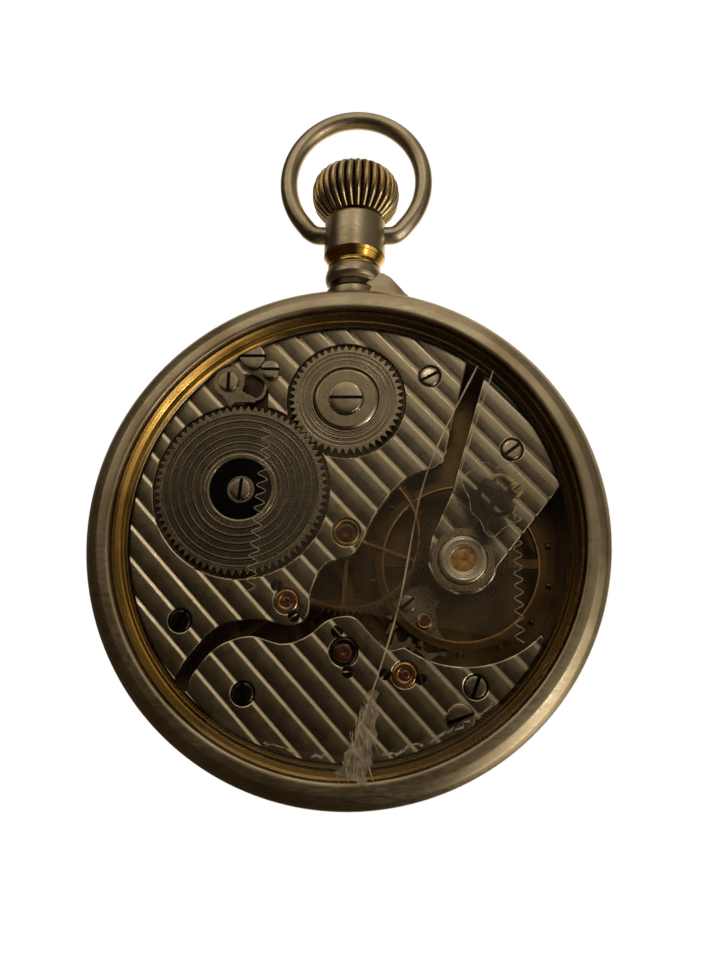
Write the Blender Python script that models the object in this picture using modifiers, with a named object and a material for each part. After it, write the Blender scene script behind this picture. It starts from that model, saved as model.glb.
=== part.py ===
"""Open face pocket watch seen from its glass back: case, winding work, going train, balance and dial.

Everything is built in millimetres in one of two frames and scaled to metres on the way in:
- the movement frame looks at the watch from behind: X right, Y up to the pendant, Z towards the back glass;
- the pendant frame has its origin at the case centre and its Z axis along the winding stem.
The world origin is where the bow hangs: the inner top of the bow, +Z up, back glass towards -Y.
"""
import math

import bmesh
import bpy
from mathutils import Matrix

MM = 0.001

# Driving dimensions, mm
HANG = 47.7                 # case centre below the inner top of the bow
PLATE_R = 21.59             # 16-size pillar plate
BRIDGE_R = 21.07
BRIDGE_TOP = 3.9
BRIDGE_LOW = 2.1
PLATE_TOP = -1.6
PLATE_LOW = -3.2
COCK_LOW = 2.35
DIAL_TOP = -3.85
DIAL_LOW = -4.35
BAND_R = 25.6
BEZEL_R = 25.1
NECK_R = 23.9
OPENING_R = 21.1
GLASS_R = 22.3
RUN = 0.06                  # radial clearance of a turning fit
ADDENDUM = 0.9              # tooth heights in modules
DEDENDUM = 1.35

# Arbor positions in the movement frame (x, y), mm
CENTRE = (0.0, 0.0)
BARREL = (-10.4, 4.1)
CROWN_WHEEL = (-0.3, 13.35)
THIRD = (-5.54, -6.63)
FOURTH = (0.0, -11.2)
ESCAPE = (5.65, -13.17)
PALLET = (7.58, -8.12)
BALANCE = (11.1, -2.52)
MINUTE = (2.2, 3.81)
CLICK = (-12.15, 15.1)
CLICK_SPRING = (-8.01, 16.43)
REGULATOR_SCREW = (16.18, 4.3)
PALLET_SCREW = (5.91, -6.44)

# Tooth counts
BARREL_TEETH = 78
CENTRE_LEAVES = 12
CENTRE_TEETH = 80
THIRD_LEAVES = 10
THIRD_TEETH = 75
FOURTH_LEAVES = 10
FOURTH_TEETH = 80
ESCAPE_LEAVES = 8
ESCAPE_TEETH = 15
RATCHET_TEETH = 72
CROWN_TEETH = 48
CANNON_LEAVES = 12
MINUTE_TEETH = 36
MINUTE_LEAVES = 10
HOUR_TEETH = 40

FLAT = math.radians(0.05)    # faces this close to one plane become one face

# Facets of round pieces
FINE = 36
MIDDLE = 18
SMALL = 10

# Where each bridge is screwed down, and the screw heads of the case screws
BARREL_BRIDGE_SCREWS = [(8.04, 15.93), (-15.52, -8.59)]
TRAIN_BRIDGE_SCREWS = [(-9.21, -15.11), (12.13, -14.14)]
COCK_SCREW = (16.02, 8.37)
CASE_SCREWS = [(-9.9, 17.9), (10.7, -16.9)]
BRIDGE_FOOT_R = 1.7

STEEL = ((0.55, 0.53, 0.49), 0.30, 1.0)
NICKEL = ((0.56, 0.52, 0.44), 0.38, 1.0)
CASE = ((0.62, 0.58, 0.48), 0.32, 1.0)
GILT = ((0.80, 0.60, 0.25), 0.28, 1.0)
BRASS = ((0.78, 0.56, 0.28), 0.32, 1.0)
RUBY = ((0.45, 0.10, 0.05), 0.15, 0.0)
GLASS = ((0.90, 0.92, 0.90), 0.05, 0.0)
ENAMEL = ((0.90, 0.89, 0.84), 0.25, 0.0)
BLUED = ((0.06, 0.08, 0.20), 0.25, 1.0)


# ---------------------------------------------------------------- scene

def empty_scene():
    """Remove every object and collection, so that the script runs anywhere."""
    for item in list(bpy.data.objects):
        bpy.data.objects.remove(item, do_unlink=True)
    for item in list(bpy.data.collections):
        bpy.data.collections.remove(item)


def collection(name):
    item = bpy.data.collections.new(name)
    bpy.context.scene.collection.children.link(item)
    return item


def frame(name, location, tilt=0.0):
    """An empty that carries pieces in its own millimetre frame."""
    item = bpy.data.objects.new(name, None)
    item.location = [value * MM for value in location]
    item.rotation_euler = (tilt, 0, 0)
    WATCH.objects.link(item)
    return item


def material(name, look):
    colour, roughness, metallic = look
    item = bpy.data.materials.new(name)
    item.use_nodes = True
    shader = item.node_tree.nodes["Principled BSDF"]
    shader.inputs["Base Color"].default_value = (*colour, 1.0)
    shader.inputs["Roughness"].default_value = roughness
    shader.inputs["Metallic"].default_value = metallic
    return item


empty_scene()
WATCH = collection("open_face_pocket_watch")
CUTTERS = collection("cutters")
MOVEMENT = frame("movement_frame", (0, 0, -HANG), math.radians(90))
PENDANT = frame("pendant_frame", (0, 0, -HANG))


# ---------------------------------------------------------------- outlines

def polar(radius, angle, centre=(0.0, 0.0)):
    return (centre[0] + radius * math.cos(angle), centre[1] + radius * math.sin(angle))


def arc(centre, radius, first, last, count):
    """Points on an arc, angles in degrees."""
    step = (last - first) / (count - 1)
    return [polar(radius, math.radians(first + step * i), centre) for i in range(count)]


def circle(centre, radius, count=SMALL):
    return [polar(radius, 2 * math.pi * i / count, centre) for i in range(count)]


def smooth(points, parts=3):
    """A Catmull-Rom curve through the points."""
    path = []
    last = len(points) - 1
    for i in range(last):
        p0, p1, p2, p3 = points[max(i - 1, 0)], points[i], points[i + 1], points[min(i + 2, last)]
        for j in range(parts):
            t = j / parts
            path.append(tuple(
                0.5 * (2 * b + (c - a) * t + (2 * a - 5 * b + 4 * c - d) * t ** 2
                       + (3 * b - a - 3 * c + d) * t ** 3)
                for a, b, c, d in zip(p0, p1, p2, p3)))
    return path + [points[last]]


def strip(path, width):
    """The outline of a ribbon of one width along a path."""
    sides = ([], [])
    for i, (x, y) in enumerate(path):
        ahead = path[min(i + 1, len(path) - 1)]
        behind = path[max(i - 1, 0)]
        dx, dy = ahead[0] - behind[0], ahead[1] - behind[1]
        length = math.hypot(dx, dy)
        for side, sign in zip(sides, (1, -1)):
            side.append((x - sign * dy / length * width / 2, y + sign * dx / length * width / 2))
    return sides[0] + sides[1][::-1]


def distance(a, b):
    return math.hypot(b[0] - a[0], b[1] - a[1])


def bearing(a, b):
    return math.atan2(b[1] - a[1], b[0] - a[0])


def gear(teeth, pitch, turn, module):
    """Pointed teeth between a root and a tip circle; one tip points along the angle `turn`."""
    points = []
    step = 2 * math.pi / teeth
    for k in range(teeth):
        points.append(polar(pitch + ADDENDUM * module, turn + step * k))
        points.append(polar(pitch - DEDENDUM * module, turn + step * (k + 0.5)))
    return points


def mesh_pair(a, b, teeth_a, teeth_b):
    """The outlines of two meshed gears on centres a and b, a tooth of a in a gap of b."""
    module = 2 * distance(a, b) / (teeth_a + teeth_b)
    towards = bearing(a, b)
    first = gear(teeth_a, module * teeth_a / 2, towards, module)
    second = gear(teeth_b, module * teeth_b / 2, towards + math.pi * (1 + 1 / teeth_b), module)
    return first, second


def spiral(inner, outer, turns, per_turn):
    count = int(turns * per_turn)
    return [polar(inner + (outer - inner) * i / count, 2 * math.pi * i / per_turn) for i in range(count + 1)]


def sector_windows(count, inner, outer, spoke, points=3):
    """The openings between a wheel's spokes: `spoke` is the spoke's width."""
    windows = []
    for k in range(count):
        middle = 2 * math.pi * (k + 0.5) / count
        half_out = math.pi / count - math.asin(spoke / 2 / outer)
        half_in = math.pi / count - math.asin(spoke / 2 / inner)
        rim = [polar(outer, middle - half_out + 2 * half_out * i / points) for i in range(points + 1)]
        hub = [polar(inner, middle + half_in - 2 * half_in * i / 2) for i in range(3)]
        windows.append(rim + hub)
    return windows


# ---------------------------------------------------------------- solids

def place(name, mesh, look, parent, at):
    item = bpy.data.objects.new(name, mesh)
    if look is None:
        CUTTERS.objects.link(item)
        item.hide_render = True
        item.display_type = "WIRE"
    else:
        WATCH.objects.link(item)
        item.data.materials.append(material(name, look))
    item.parent = parent
    item.location = [value * MM for value in at]
    return item


def settled(item):
    """Turn a curve or modified object into plain closed mesh data in place."""
    bpy.context.view_layer.update()
    graph = bpy.context.evaluated_depsgraph_get()
    mesh = bpy.data.meshes.new_from_object(item.evaluated_get(graph))
    work = bmesh.new()
    work.from_mesh(mesh)
    bmesh.ops.remove_doubles(work, verts=work.verts, dist=1e-7)
    bmesh.ops.recalc_face_normals(work, faces=work.faces)
    bmesh.ops.dissolve_limit(work, angle_limit=FLAT, verts=work.verts, edges=work.edges)
    work.to_mesh(mesh)
    work.free()
    return mesh


def turned(name, profile, steps, look, parent=None, at=(0, 0, 0), ribs=None):
    """A body of revolution about local Z. The (radius, height) profile runs down its outer side."""
    ring = min(radius for radius, _ in profile) > 0
    count = len(profile)
    edges = [(i, i + 1) for i in range(count - 1)]
    if ring:
        edges.append((count - 1, 0))
    mesh = bpy.data.meshes.new(name)
    mesh.from_pydata([(radius * MM, 0, height * MM) for radius, height in profile], edges, [])
    item = place(name, mesh, look, parent or MOVEMENT, at)
    screw = item.modifiers.new("Turn", "SCREW")
    screw.steps = steps
    screw.render_steps = steps
    screw.use_merge_vertices = True
    screw.merge_threshold = 1e-6
    screw.use_smooth_shade = True
    return item


def flat(name, loops, low, high, look, at=(0.0, 0.0)):
    """A flat outline, with any holes as further loops, from height low to high in the movement frame."""
    curve = bpy.data.curves.new(name, "CURVE")
    curve.dimensions = "2D"
    curve.fill_mode = "BOTH"
    curve.extrude = (high - low) / 2 * MM
    for loop in loops:
        spline = curve.splines.new("POLY")
        spline.points.add(len(loop) - 1)
        for point, (x, y) in zip(spline.points, loop):
            point.co = (x * MM, y * MM, 0, 1)
        spline.use_cyclic_u = True
    drawn = bpy.data.objects.new(name + "_outline", curve)
    CUTTERS.objects.link(drawn)
    mesh = settled(drawn)
    bpy.data.objects.remove(drawn)
    mesh.transform(Matrix.Translation((0, 0, (high + low) / 2 * MM)))
    return place(name, mesh, look, MOVEMENT, (at[0], at[1], 0))


def rod(name, radius, low, high, at=(0.0, 0.0), look=None, steps=SMALL):
    """A plain cylinder along local Z in the movement frame, used as a tool when it has no look."""
    profile = [(0, high), (radius, high), (radius, low), (0, low)]
    return turned(name, profile, steps, look, MOVEMENT, (at[0], at[1], 0))


def boolean(target, tool, operation):
    step = target.modifiers.new(tool.name, "BOOLEAN")
    step.operation = operation
    step.object = tool
    step.solver = "EXACT"


def joined(target, *tools):
    for tool in tools:
        boolean(target, tool, "UNION")
    return target


def cut(target, *tools):
    for tool in tools:
        boolean(target, tool, "DIFFERENCE")
    return target


def cleaned(item):
    """Weld what the Booleans left a hair apart and merge their leftover coplanar faces."""
    weld = item.modifiers.new("Weld", "WELD")
    weld.merge_threshold = 1e-6
    planar = item.modifiers.new("Planar", "DECIMATE")
    planar.decimate_type = "DISSOLVE"
    planar.angle_limit = FLAT
    return item


def slot(name, width, length, low, at, angle, parent=None):
    """A saw cut across a screw head, open at the top."""
    bpy.ops.mesh.primitive_cube_add(size=1)
    item = bpy.context.object
    item.name = name
    for owner in list(item.users_collection):
        owner.objects.unlink(item)
    CUTTERS.objects.link(item)
    item.hide_render = True
    item.display_type = "WIRE"
    item.scale = (length * MM, width * MM, MM)
    item.parent = parent or MOVEMENT
    item.location = (at[0] * MM, at[1] * MM, (low + 0.5) * MM)
    item.rotation_euler = (0, 0, math.radians(angle))
    return item


def screw(name, at, head_r, top, head_low, shank_r, tip, angle=90, look=STEEL):
    """A slotted screw: chamfered flat head and plain shank."""
    chamfer = 0.4 * (top - head_low)
    steps = MIDDLE if head_r > 1.2 else 12
    body = turned(name, [(0, top), (head_r - chamfer, top), (head_r, top - chamfer), (head_r, head_low),
                         (shank_r, head_low), (shank_r, tip), (0, tip)], steps, look, at=(*at, 0))
    return cleaned(cut(body, slot(name + "_slot", 0.26, 4 * head_r, top - 0.5 * (top - head_low), at, angle)))


# ---------------------------------------------------------------- case

def case_band():
    band = turned("case_band", [
        (21.2, 3.85), (NECK_R, 3.85), (NECK_R, 2.7), (25.1, 2.55), (25.5, 1.2), (BAND_R, 0), (25.5, -1.2),
        (25.1, -2.55), (NECK_R, -2.7), (NECK_R, -4.0), (21.7, -4.0), (21.7, -1.5), (21.2, -1.5)], FINE, CASE)
    shoulder = flat("shoulder", [[
        (3.2, 24.8), (3.2, 27.9), (4.2, 27.3), (5.6, 26.3), (7.4, 25.3), (8.9, 23.2)]], -1.8, 1.8, None)
    bore = turned("pendant_bore", [(0, 28), (2.0, 28), (2.0, 18), (0, 18)], MIDDLE, None, PENDANT)
    cut(joined(band, shoulder), bore)


def back_cover():
    turned("back_bezel", [
        (22.4, 6.0), (23.3, 6.05), (24.4, 5.5), (25.0, 4.4), (BEZEL_R, 2.8), (24.0, 2.8), (24.0, 3.95),
        (22.4, 3.95)], FINE, CASE)
    turned("back_ring", [
        (OPENING_R, 4.75), (GLASS_R, 5.2), (GLASS_R, 4.45), (OPENING_R, 4.45)], FINE, GILT)
    turned("back_crystal", [
        (0, 6.5), (19.5, 6.5), (21.6, 6.25), (GLASS_R, 5.85), (GLASS_R, 5.3), (0, 5.3)], FINE, GLASS)


def front_cover():
    turned("front_bezel", [
        (21.2, -4.2), (24.0, -4.2), (24.0, -2.8), (BEZEL_R, -2.8), (25.0, -4.4), (24.4, -5.6), (23.3, -6.2),
        (22.4, -6.15), (22.4, -5.45), (21.2, -4.75)], FINE, CASE)
    turned("front_crystal", [
        (0, -5.6), (GLASS_R, -5.6), (GLASS_R, -6.1), (21.6, -6.45), (19.5, -6.7), (0, -6.7)], FINE, GLASS)


BOW_PIVOT = 33.9            # height of the bow's ends over the case centre
BOW_WIRE = 0.96
BOW_HALF = (7.6, 8.06)      # half width and half height of the bow's loop
BOW_CENTRE = 40.6


def pendant():
    tube = turned("pendant", [
        (1.3, 35.5), (2.9, 35.55), (3.35, 35.1), (3.35, 31.1), (2.75, 30.2), (2.85, 29.6), (3.1, 28.7),
        (3.1, 28.0), (2.65, 27.5), (2.65, 27.0), (3.1, 26.6), (3.1, 25.75),
        (1.9, 25.75), (1.9, 22.2), (1.3, 22.2)], MIDDLE, CASE, PENDANT)
    for side, label in ((1, "right"), (-1, "left")):
        hole = turned("bow_hole_" + label, [(0, 5), (1.1, 5), (1.1, 2.3), (0, 2.3)], 16, None, PENDANT,
                      (0, 0, BOW_PIVOT))
        hole.rotation_euler = (0, side * math.pi / 2, 0)
        cut(tube, hole)


def bow():
    """A wire loop in the XZ plane whose ends enter the pendant; its origin is on the swing axis."""
    wide, high = BOW_HALF
    rise = BOW_CENTRE - BOW_PIVOT
    side = [(2.45, 0.0), (3.5, 0.0), (4.4, 0.12), (5.2, 0.68)]
    loop = [(wide * math.sin(math.radians(a)), rise + high * math.cos(math.radians(a)))
            for a in range(130, -131, -13)]
    path = side + loop + [(-x, z) for x, z in reversed(side)]
    curve = bpy.data.curves.new("bow", "CURVE")
    curve.dimensions = "3D"
    curve.bevel_depth = BOW_WIRE * MM
    curve.bevel_resolution = 2
    curve.use_fill_caps = True
    spline = curve.splines.new("POLY")
    spline.points.add(len(path) - 1)
    for point, (x, z) in zip(spline.points, path):
        point.co = (x * MM, 0, z * MM, 1)
    drawn = bpy.data.objects.new("bow_wire", curve)
    CUTTERS.objects.link(drawn)
    mesh = settled(drawn)
    bpy.data.objects.remove(drawn)
    place("bow", mesh, CASE, PENDANT, (0, 0, BOW_PIVOT))


def crown():
    """The ribbed winding crown: alternate columns of the turned body are drawn in a little."""
    ribs = 34
    body = turned("crown", [
        (0, 42.05), (3.0, 41.6), (4.4, 40.5), (4.85, 39.2), (4.6, 37.5), (3.2, 35.85),
        (1.06, 35.85), (1.06, 40.0), (0, 40.0)], 2 * ribs, CASE, PENDANT)
    mesh = settled(body)
    body.modifiers.clear()
    for vertex in mesh.vertices:
        column = round(math.atan2(vertex.co.y, vertex.co.x) / (math.pi / ribs))
        if column % 2 and math.hypot(vertex.co.x, vertex.co.y) > 3 * MM:
            vertex.co.x *= 0.95
            vertex.co.y *= 0.95
    body.data = mesh
    turned("stem", [
        (0, 39.9), (1.0, 39.9), (1.0, 21.5), (0.75, 21.3), (0.75, 14.2), (0.4, 13.8), (0.4, 13.0), (0, 13.0)],
        16, STEEL, PENDANT)
    turned("winding_pinion", [
        (0.81, 19.2), (1.3, 19.2), (1.45, 19.0), (1.45, 17.4), (1.3, 17.2), (0.81, 17.2)], 16, STEEL, PENDANT)


# ---------------------------------------------------------------- plates and bridges

def rim(first, last, count):
    return arc(CENTRE, BRIDGE_R, first, last, count)


def seat(name, at, radius, low=0.0, high=6.0, steps=16):
    """A round hole or recess cut from a plate."""
    return rod(name, radius, low, high, at, steps=steps)


def bridge(name, outline, low, screws, holes, recesses=()):
    """A bridge plate on round feet, with counterbored screw holes, jewel holes and wheel recesses."""
    plate = flat(name, [outline], low, BRIDGE_TOP, NICKEL)
    for i, at in enumerate(screws):
        joined(plate, rod(f"{name}_foot_{i}", BRIDGE_FOOT_R, PLATE_TOP + 0.05, low + 0.3, at, steps=16))
    for i, (at, radius, floor) in enumerate(recesses):
        cut(plate, seat(f"{name}_recess_{i}", at, radius, floor, steps=30))
    for i, at in enumerate(screws):
        cut(plate, seat(f"{name}_counterbore_{i}", at, 1.13, 3.4), seat(f"{name}_clear_{i}", at, 0.7, -4))
    for i, (at, radius) in enumerate(holes):
        cut(plate, seat(f"{name}_hole_{i}", at, radius, 1.5))
    return cleaned(plate)


JEWELS = {                  # name: (arbor, setting radius, pivot radius)
    "centre_jewel": (CENTRE, 1.3, 0.45),
    "third_jewel": (THIRD, 1.15, 0.2),
    "fourth_jewel": (FOURTH, 1.3, 0.2),
    "escape_jewel": (ESCAPE, 1.15, 0.16),
}
JEWEL_LOW = 2.3
BALANCE_SETTING_R = 2.3


def jewel_hole(name):
    at, radius, _ = JEWELS[name]
    return (at, radius + RUN)


def plates():
    pillar = flat("pillar_plate", [circle(CENTRE, PLATE_R, 60)], PLATE_LOW, PLATE_TOP, BRASS)
    drilled = [(CENTRE, 0.85), (BARREL, 0.78), (THIRD, 0.26), (FOURTH, 0.42), (ESCAPE, 0.24), (PALLET, 0.24),
               (BALANCE, 0.24), (PALLET_SCREW, 0.5), (COCK_SCREW, 0.7)]
    drilled += [(at, 0.7) for at in BARREL_BRIDGE_SCREWS + TRAIN_BRIDGE_SCREWS]
    for i, (at, radius) in enumerate(drilled):
        cut(pillar, seat(f"pillar_hole_{i}", at, radius, -5, 0, SMALL))
    cleaned(joined(pillar, rod("minute_post", 0.4, PLATE_LOW - 0.6, PLATE_LOW + 0.3, MINUTE)))

    edge = smooth([
        (9.28, 6.94), (5.49, 5.2), (2.81, 1.81), (0.86, -1.9), (-1.88, -3.08), (-3.14, -5.37), (-3.53, -7.99),
        (-5.19, -8.94), (-8.23, -8.39), (-11.97, -9.14), (-14.87, -12.39)], 3)
    bridge("barrel_bridge", rim(222, 56, 28) + edge, BRIDGE_LOW, BARREL_BRIDGE_SCREWS,
           [jewel_hole("centre_jewel"), jewel_hole("third_jewel"), (BARREL, 1.42), (CROWN_WHEEL, 0.86),
            (CLICK, 0.56), (CLICK_SPRING, 0.56), (CASE_SCREWS[0], 0.42)],
           [(BARREL, 8.7, 3.6), (CROWN_WHEEL, 5.95, 3.6)])

    top = smooth([
        (-14.1, -13.6), (-12.53, -11.53), (-10.85, -10.41), (-8.62, -9.91), (-5.78, -10.56), (-3.6, -9.9),
        (-1.73, -8.43), (-0.19, -7.94), (1.16, -8.2), (3.0, -10.1), (4.4, -11.0)], 3)
    around = arc(BALANCE, 9.85, 236, 316, 12)
    bridge("train_bridge", top + around + rim(332, 226, 22), BRIDGE_LOW, TRAIN_BRIDGE_SCREWS,
           [jewel_hole("fourth_jewel"), jewel_hole("escape_jewel"), (CASE_SCREWS[1], 0.42)])

    head = arc(BALANCE, 3.3, 160, 350, 12)
    cock = rim(13, 50, 10) + [(10.1, 3.9), (8.2, -0.4)] + head
    bridge("balance_cock", cock, COCK_LOW, [COCK_SCREW], [(BALANCE, BALANCE_SETTING_R + RUN), (REGULATOR_SCREW, 0.36)])

    pallet_bridge = flat("pallet_bridge", [
        arc(PALLET, 1.3, 200, 350, 7) + arc((7.4, -5.6), 1.0, 20, 120, 5) + arc(PALLET_SCREW, 1.3, 110, 220, 6)],
        0.22, 0.48, NICKEL)
    joined(pallet_bridge, rod("pallet_foot", 1.1, PLATE_TOP + 0.05, 0.35, PALLET_SCREW, steps=16))
    cut(pallet_bridge, seat("pallet_bridge_clear", PALLET_SCREW, 0.5, -3),
        seat("pallet_bridge_pivot", PALLET, 0.22, 0.1))


def settings():
    for name, (at, radius, pivot) in JEWELS.items():
        turned(name, [(0, 3.95), (radius - 0.15, 3.95), (radius, 3.82), (radius, JEWEL_LOW), (pivot + RUN, JEWEL_LOW),
                      (pivot + RUN, 3.2), (0, 3.2)], 14, BRASS, at=(*at, 0))
    turned("balance_jewel", [
        (0, 4.25), (1.0, 4.25), (BALANCE_SETTING_R - 0.2, 4.25), (BALANCE_SETTING_R, 4.1), (BALANCE_SETTING_R, 2.45),
        (0.2, 2.45), (0.2, 3.3), (0, 3.3)], MIDDLE, BRASS, at=(*BALANCE, 0))


def screws():
    for i, at in enumerate(BARREL_BRIDGE_SCREWS):
        screw(f"barrel_bridge_screw_{i + 1}", at, 1.03, 4.0, 3.45, 0.6, -2.7, (28, 60)[i])
    for i, at in enumerate(TRAIN_BRIDGE_SCREWS):
        screw(f"train_bridge_screw_{i + 1}", at, 1.03, 4.0, 3.45, 0.6, -2.7, (95, 70)[i])
    for i, at in enumerate(CASE_SCREWS):
        screw(f"case_screw_{i + 1}", at, 1.35, 4.35, 3.95, 0.36, 2.5, (75, 20)[i])
    screw("balance_cock_screw", COCK_SCREW, 1.03, 4.0, 3.45, 0.6, -2.7, 38)
    screw("pallet_bridge_screw", PALLET_SCREW, 0.85, 0.72, 0.5, 0.42, -2.7, 40)


# ---------------------------------------------------------------- winding work

WINDING_LOW = 3.7
WINDING_TOP = 4.35


def winding():
    ratchet, crown_wheel = mesh_pair(BARREL, CROWN_WHEEL, RATCHET_TEETH, CROWN_TEETH)
    flat("ratchet_wheel", [ratchet, circle(CENTRE, 1.42, 16)], WINDING_LOW, WINDING_TOP, STEEL, BARREL)
    turned("barrel_arbor", [
        (0, 2.9), (0.5, 2.9), (0.5, 4.05), (1.35, 4.05), (1.35, 0.6), (1.9, 0.55), (1.9, -0.65), (0.9, -0.7),
        (0.9, -1.4), (0.7, -1.5), (0.7, -2.9), (0, -2.9)], 16, STEEL, at=(*BARREL, 0))
    screw("ratchet_screw", BARREL, 1.05, 4.4, 4.1, 0.42, 3.0, 85)

    flat("crown_wheel", [crown_wheel, circle(CENTRE, 3.3, MIDDLE)], WINDING_LOW, WINDING_TOP, STEEL, CROWN_WHEEL)
    turned("crown_wheel_cap", [
        (0.86, 4.5), (3.0, 4.5), (3.22, 4.35), (3.22, WINDING_LOW), (0.86, WINDING_LOW)], MIDDLE, STEEL,
        at=(*CROWN_WHEEL, 0))
    screw("crown_wheel_screw", CROWN_WHEEL, 1.66, 4.85, 4.55, 0.8, 2.5, 0)

    module = 2 * distance(BARREL, CROWN_WHEEL) / (RATCHET_TEETH + CROWN_TEETH)
    tip_r = module * (RATCHET_TEETH / 2 + ADDENDUM)
    step = 2 * math.pi / RATCHET_TEETH
    towards = bearing(BARREL, CROWN_WHEEL)
    gap = round((math.radians(99.1) - towards) / step - 0.5) + 0.5
    tip = polar(tip_r - 0.13, towards + gap * step, BARREL)
    beak = bearing(CLICK, tip)
    body = [polar(1.6, beak + math.radians(a)) for a in range(50, 311, 20)]
    flat("click", [body + [polar(distance(CLICK, tip), beak)], circle(CENTRE, 0.56)], 3.95, 4.3, STEEL, CLICK)
    screw("click_screw", CLICK, 1.02, 4.6, 4.35, 0.5, 2.6, 90)
    arm = smooth([(-7.9, 15.9), (-7.9, 14.6), (-8.7, 13.6), (-9.8, 13.4), (-10.5, 14.1)], 3)
    spring = flat("click_spring", [strip(arm, 0.35)], 3.95, 4.2, STEEL)
    joined(spring, rod("click_spring_foot", 1.0, 3.95, 4.2, CLICK_SPRING, steps=16))
    cut(spring, seat("click_spring_hole", CLICK_SPRING, 0.56))
    screw("click_spring_screw", CLICK_SPRING, 0.95, 4.5, 4.25, 0.5, 2.6, 70)


# ---------------------------------------------------------------- going train

def toothed(name, outline, low, high, at, windows=()):
    """A gear as a tool for the arbor that carries it."""
    return flat(name, [outline, *windows], low, high, None, at)


def arbor(name, at, profile, look, *gears, steps=SMALL):
    """A turned arbor with its wheel and pinion."""
    return cleaned(joined(turned(name, profile, steps, look, at=(*at, 0)), *gears))


def train():
    barrel, centre_pinion = mesh_pair(BARREL, CENTRE, BARREL_TEETH, CENTRE_LEAVES)
    centre, third_pinion = mesh_pair(CENTRE, THIRD, CENTRE_TEETH, THIRD_LEAVES)
    third, fourth_pinion = mesh_pair(THIRD, FOURTH, THIRD_TEETH, FOURTH_LEAVES)
    fourth, escape_pinion = mesh_pair(FOURTH, ESCAPE, FOURTH_TEETH, ESCAPE_LEAVES)

    drum = flat("mainspring_barrel", [barrel, circle(CENTRE, 1.0, 16)], -1.2, -0.85, BRASS, BARREL)
    wall = turned("barrel_wall", [(8.45, 0.7), (8.95, 0.7), (8.95, -1.0), (8.45, -1.0)], 26, None, at=(*BARREL, 0))
    cleaned(joined(drum, wall))
    turned("barrel_cover", [(1.45, 0.98), (8.9, 0.98), (8.9, 0.75), (1.45, 0.75)], 26, BRASS, at=(*BARREL, 0))
    flat("mainspring", [strip(spiral(2.1, 8.0, 3, 14), 0.2)], -0.7, 0.6, BLUED, BARREL)

    arbor("centre_wheel", CENTRE, [
        (0, 3.1), (0.45, 3.1), (0.45, 2.2), (0.8, 2.2), (0.8, -1.5), (0.75, -1.5), (0.75, -3.1), (0.6, -3.2),
        (0.6, -5.2), (0, -5.2)], BRASS,
        toothed("centre_rim", centre, 1.55, 1.8, CENTRE, sector_windows(5, 1.9, 6.6, 0.8)),
        toothed("centre_pinion", centre_pinion, -1.35, -0.55, CENTRE), steps=16)
    arbor("third_wheel", THIRD, [
        (0, 3.1), (0.2, 3.1), (0.2, 2.2), (0.4, 2.2), (0.4, -1.5), (0.2, -1.5), (0.2, -2.6), (0, -2.6)], BRASS,
        toothed("third_rim", third, 1.1, 1.35, THIRD, sector_windows(5, 1.5, 5.5, 0.7)),
        toothed("third_pinion", third_pinion, 1.3, 1.95, THIRD))
    arbor("fourth_wheel", FOURTH, [
        (0, 3.1), (0.2, 3.1), (0.2, 2.2), (0.4, 2.2), (0.4, -1.5), (0.3, -1.5), (0.3, -4.7), (0, -4.7)], BRASS,
        toothed("fourth_rim", fourth, -0.8, -0.55, FOURTH, sector_windows(5, 1.4, 4.6, 0.6)),
        toothed("fourth_pinion", fourth_pinion, 1.0, 1.45, FOURTH))
    teeth = []
    for k in range(ESCAPE_TEETH):
        start = math.radians(24 * k + 6)
        teeth += [polar(3.05, start - 0.03), polar(4.0, start), polar(4.0, start + 0.028), polar(3.05, start + 0.2)]
    arbor("escape_wheel", ESCAPE, [
        (0, 3.1), (0.16, 3.1), (0.16, 2.2), (0.3, 2.2), (0.3, -1.5), (0.18, -1.5), (0.18, -2.6), (0, -2.6)], STEEL,
        toothed("escape_rim", teeth, -0.1, 0.1, ESCAPE, sector_windows(5, 0.9, 2.6, 0.45)),
        toothed("escape_pinion", escape_pinion, -0.9, -0.45, ESCAPE))


# ---------------------------------------------------------------- escapement

FORK_LOW = -0.1
FORK_TOP = 0.1


def turn_about(points, angle):
    c, s = math.cos(angle), math.sin(angle)
    return [(x * c - y * s, x * s + y * c) for x, y in points]


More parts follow.
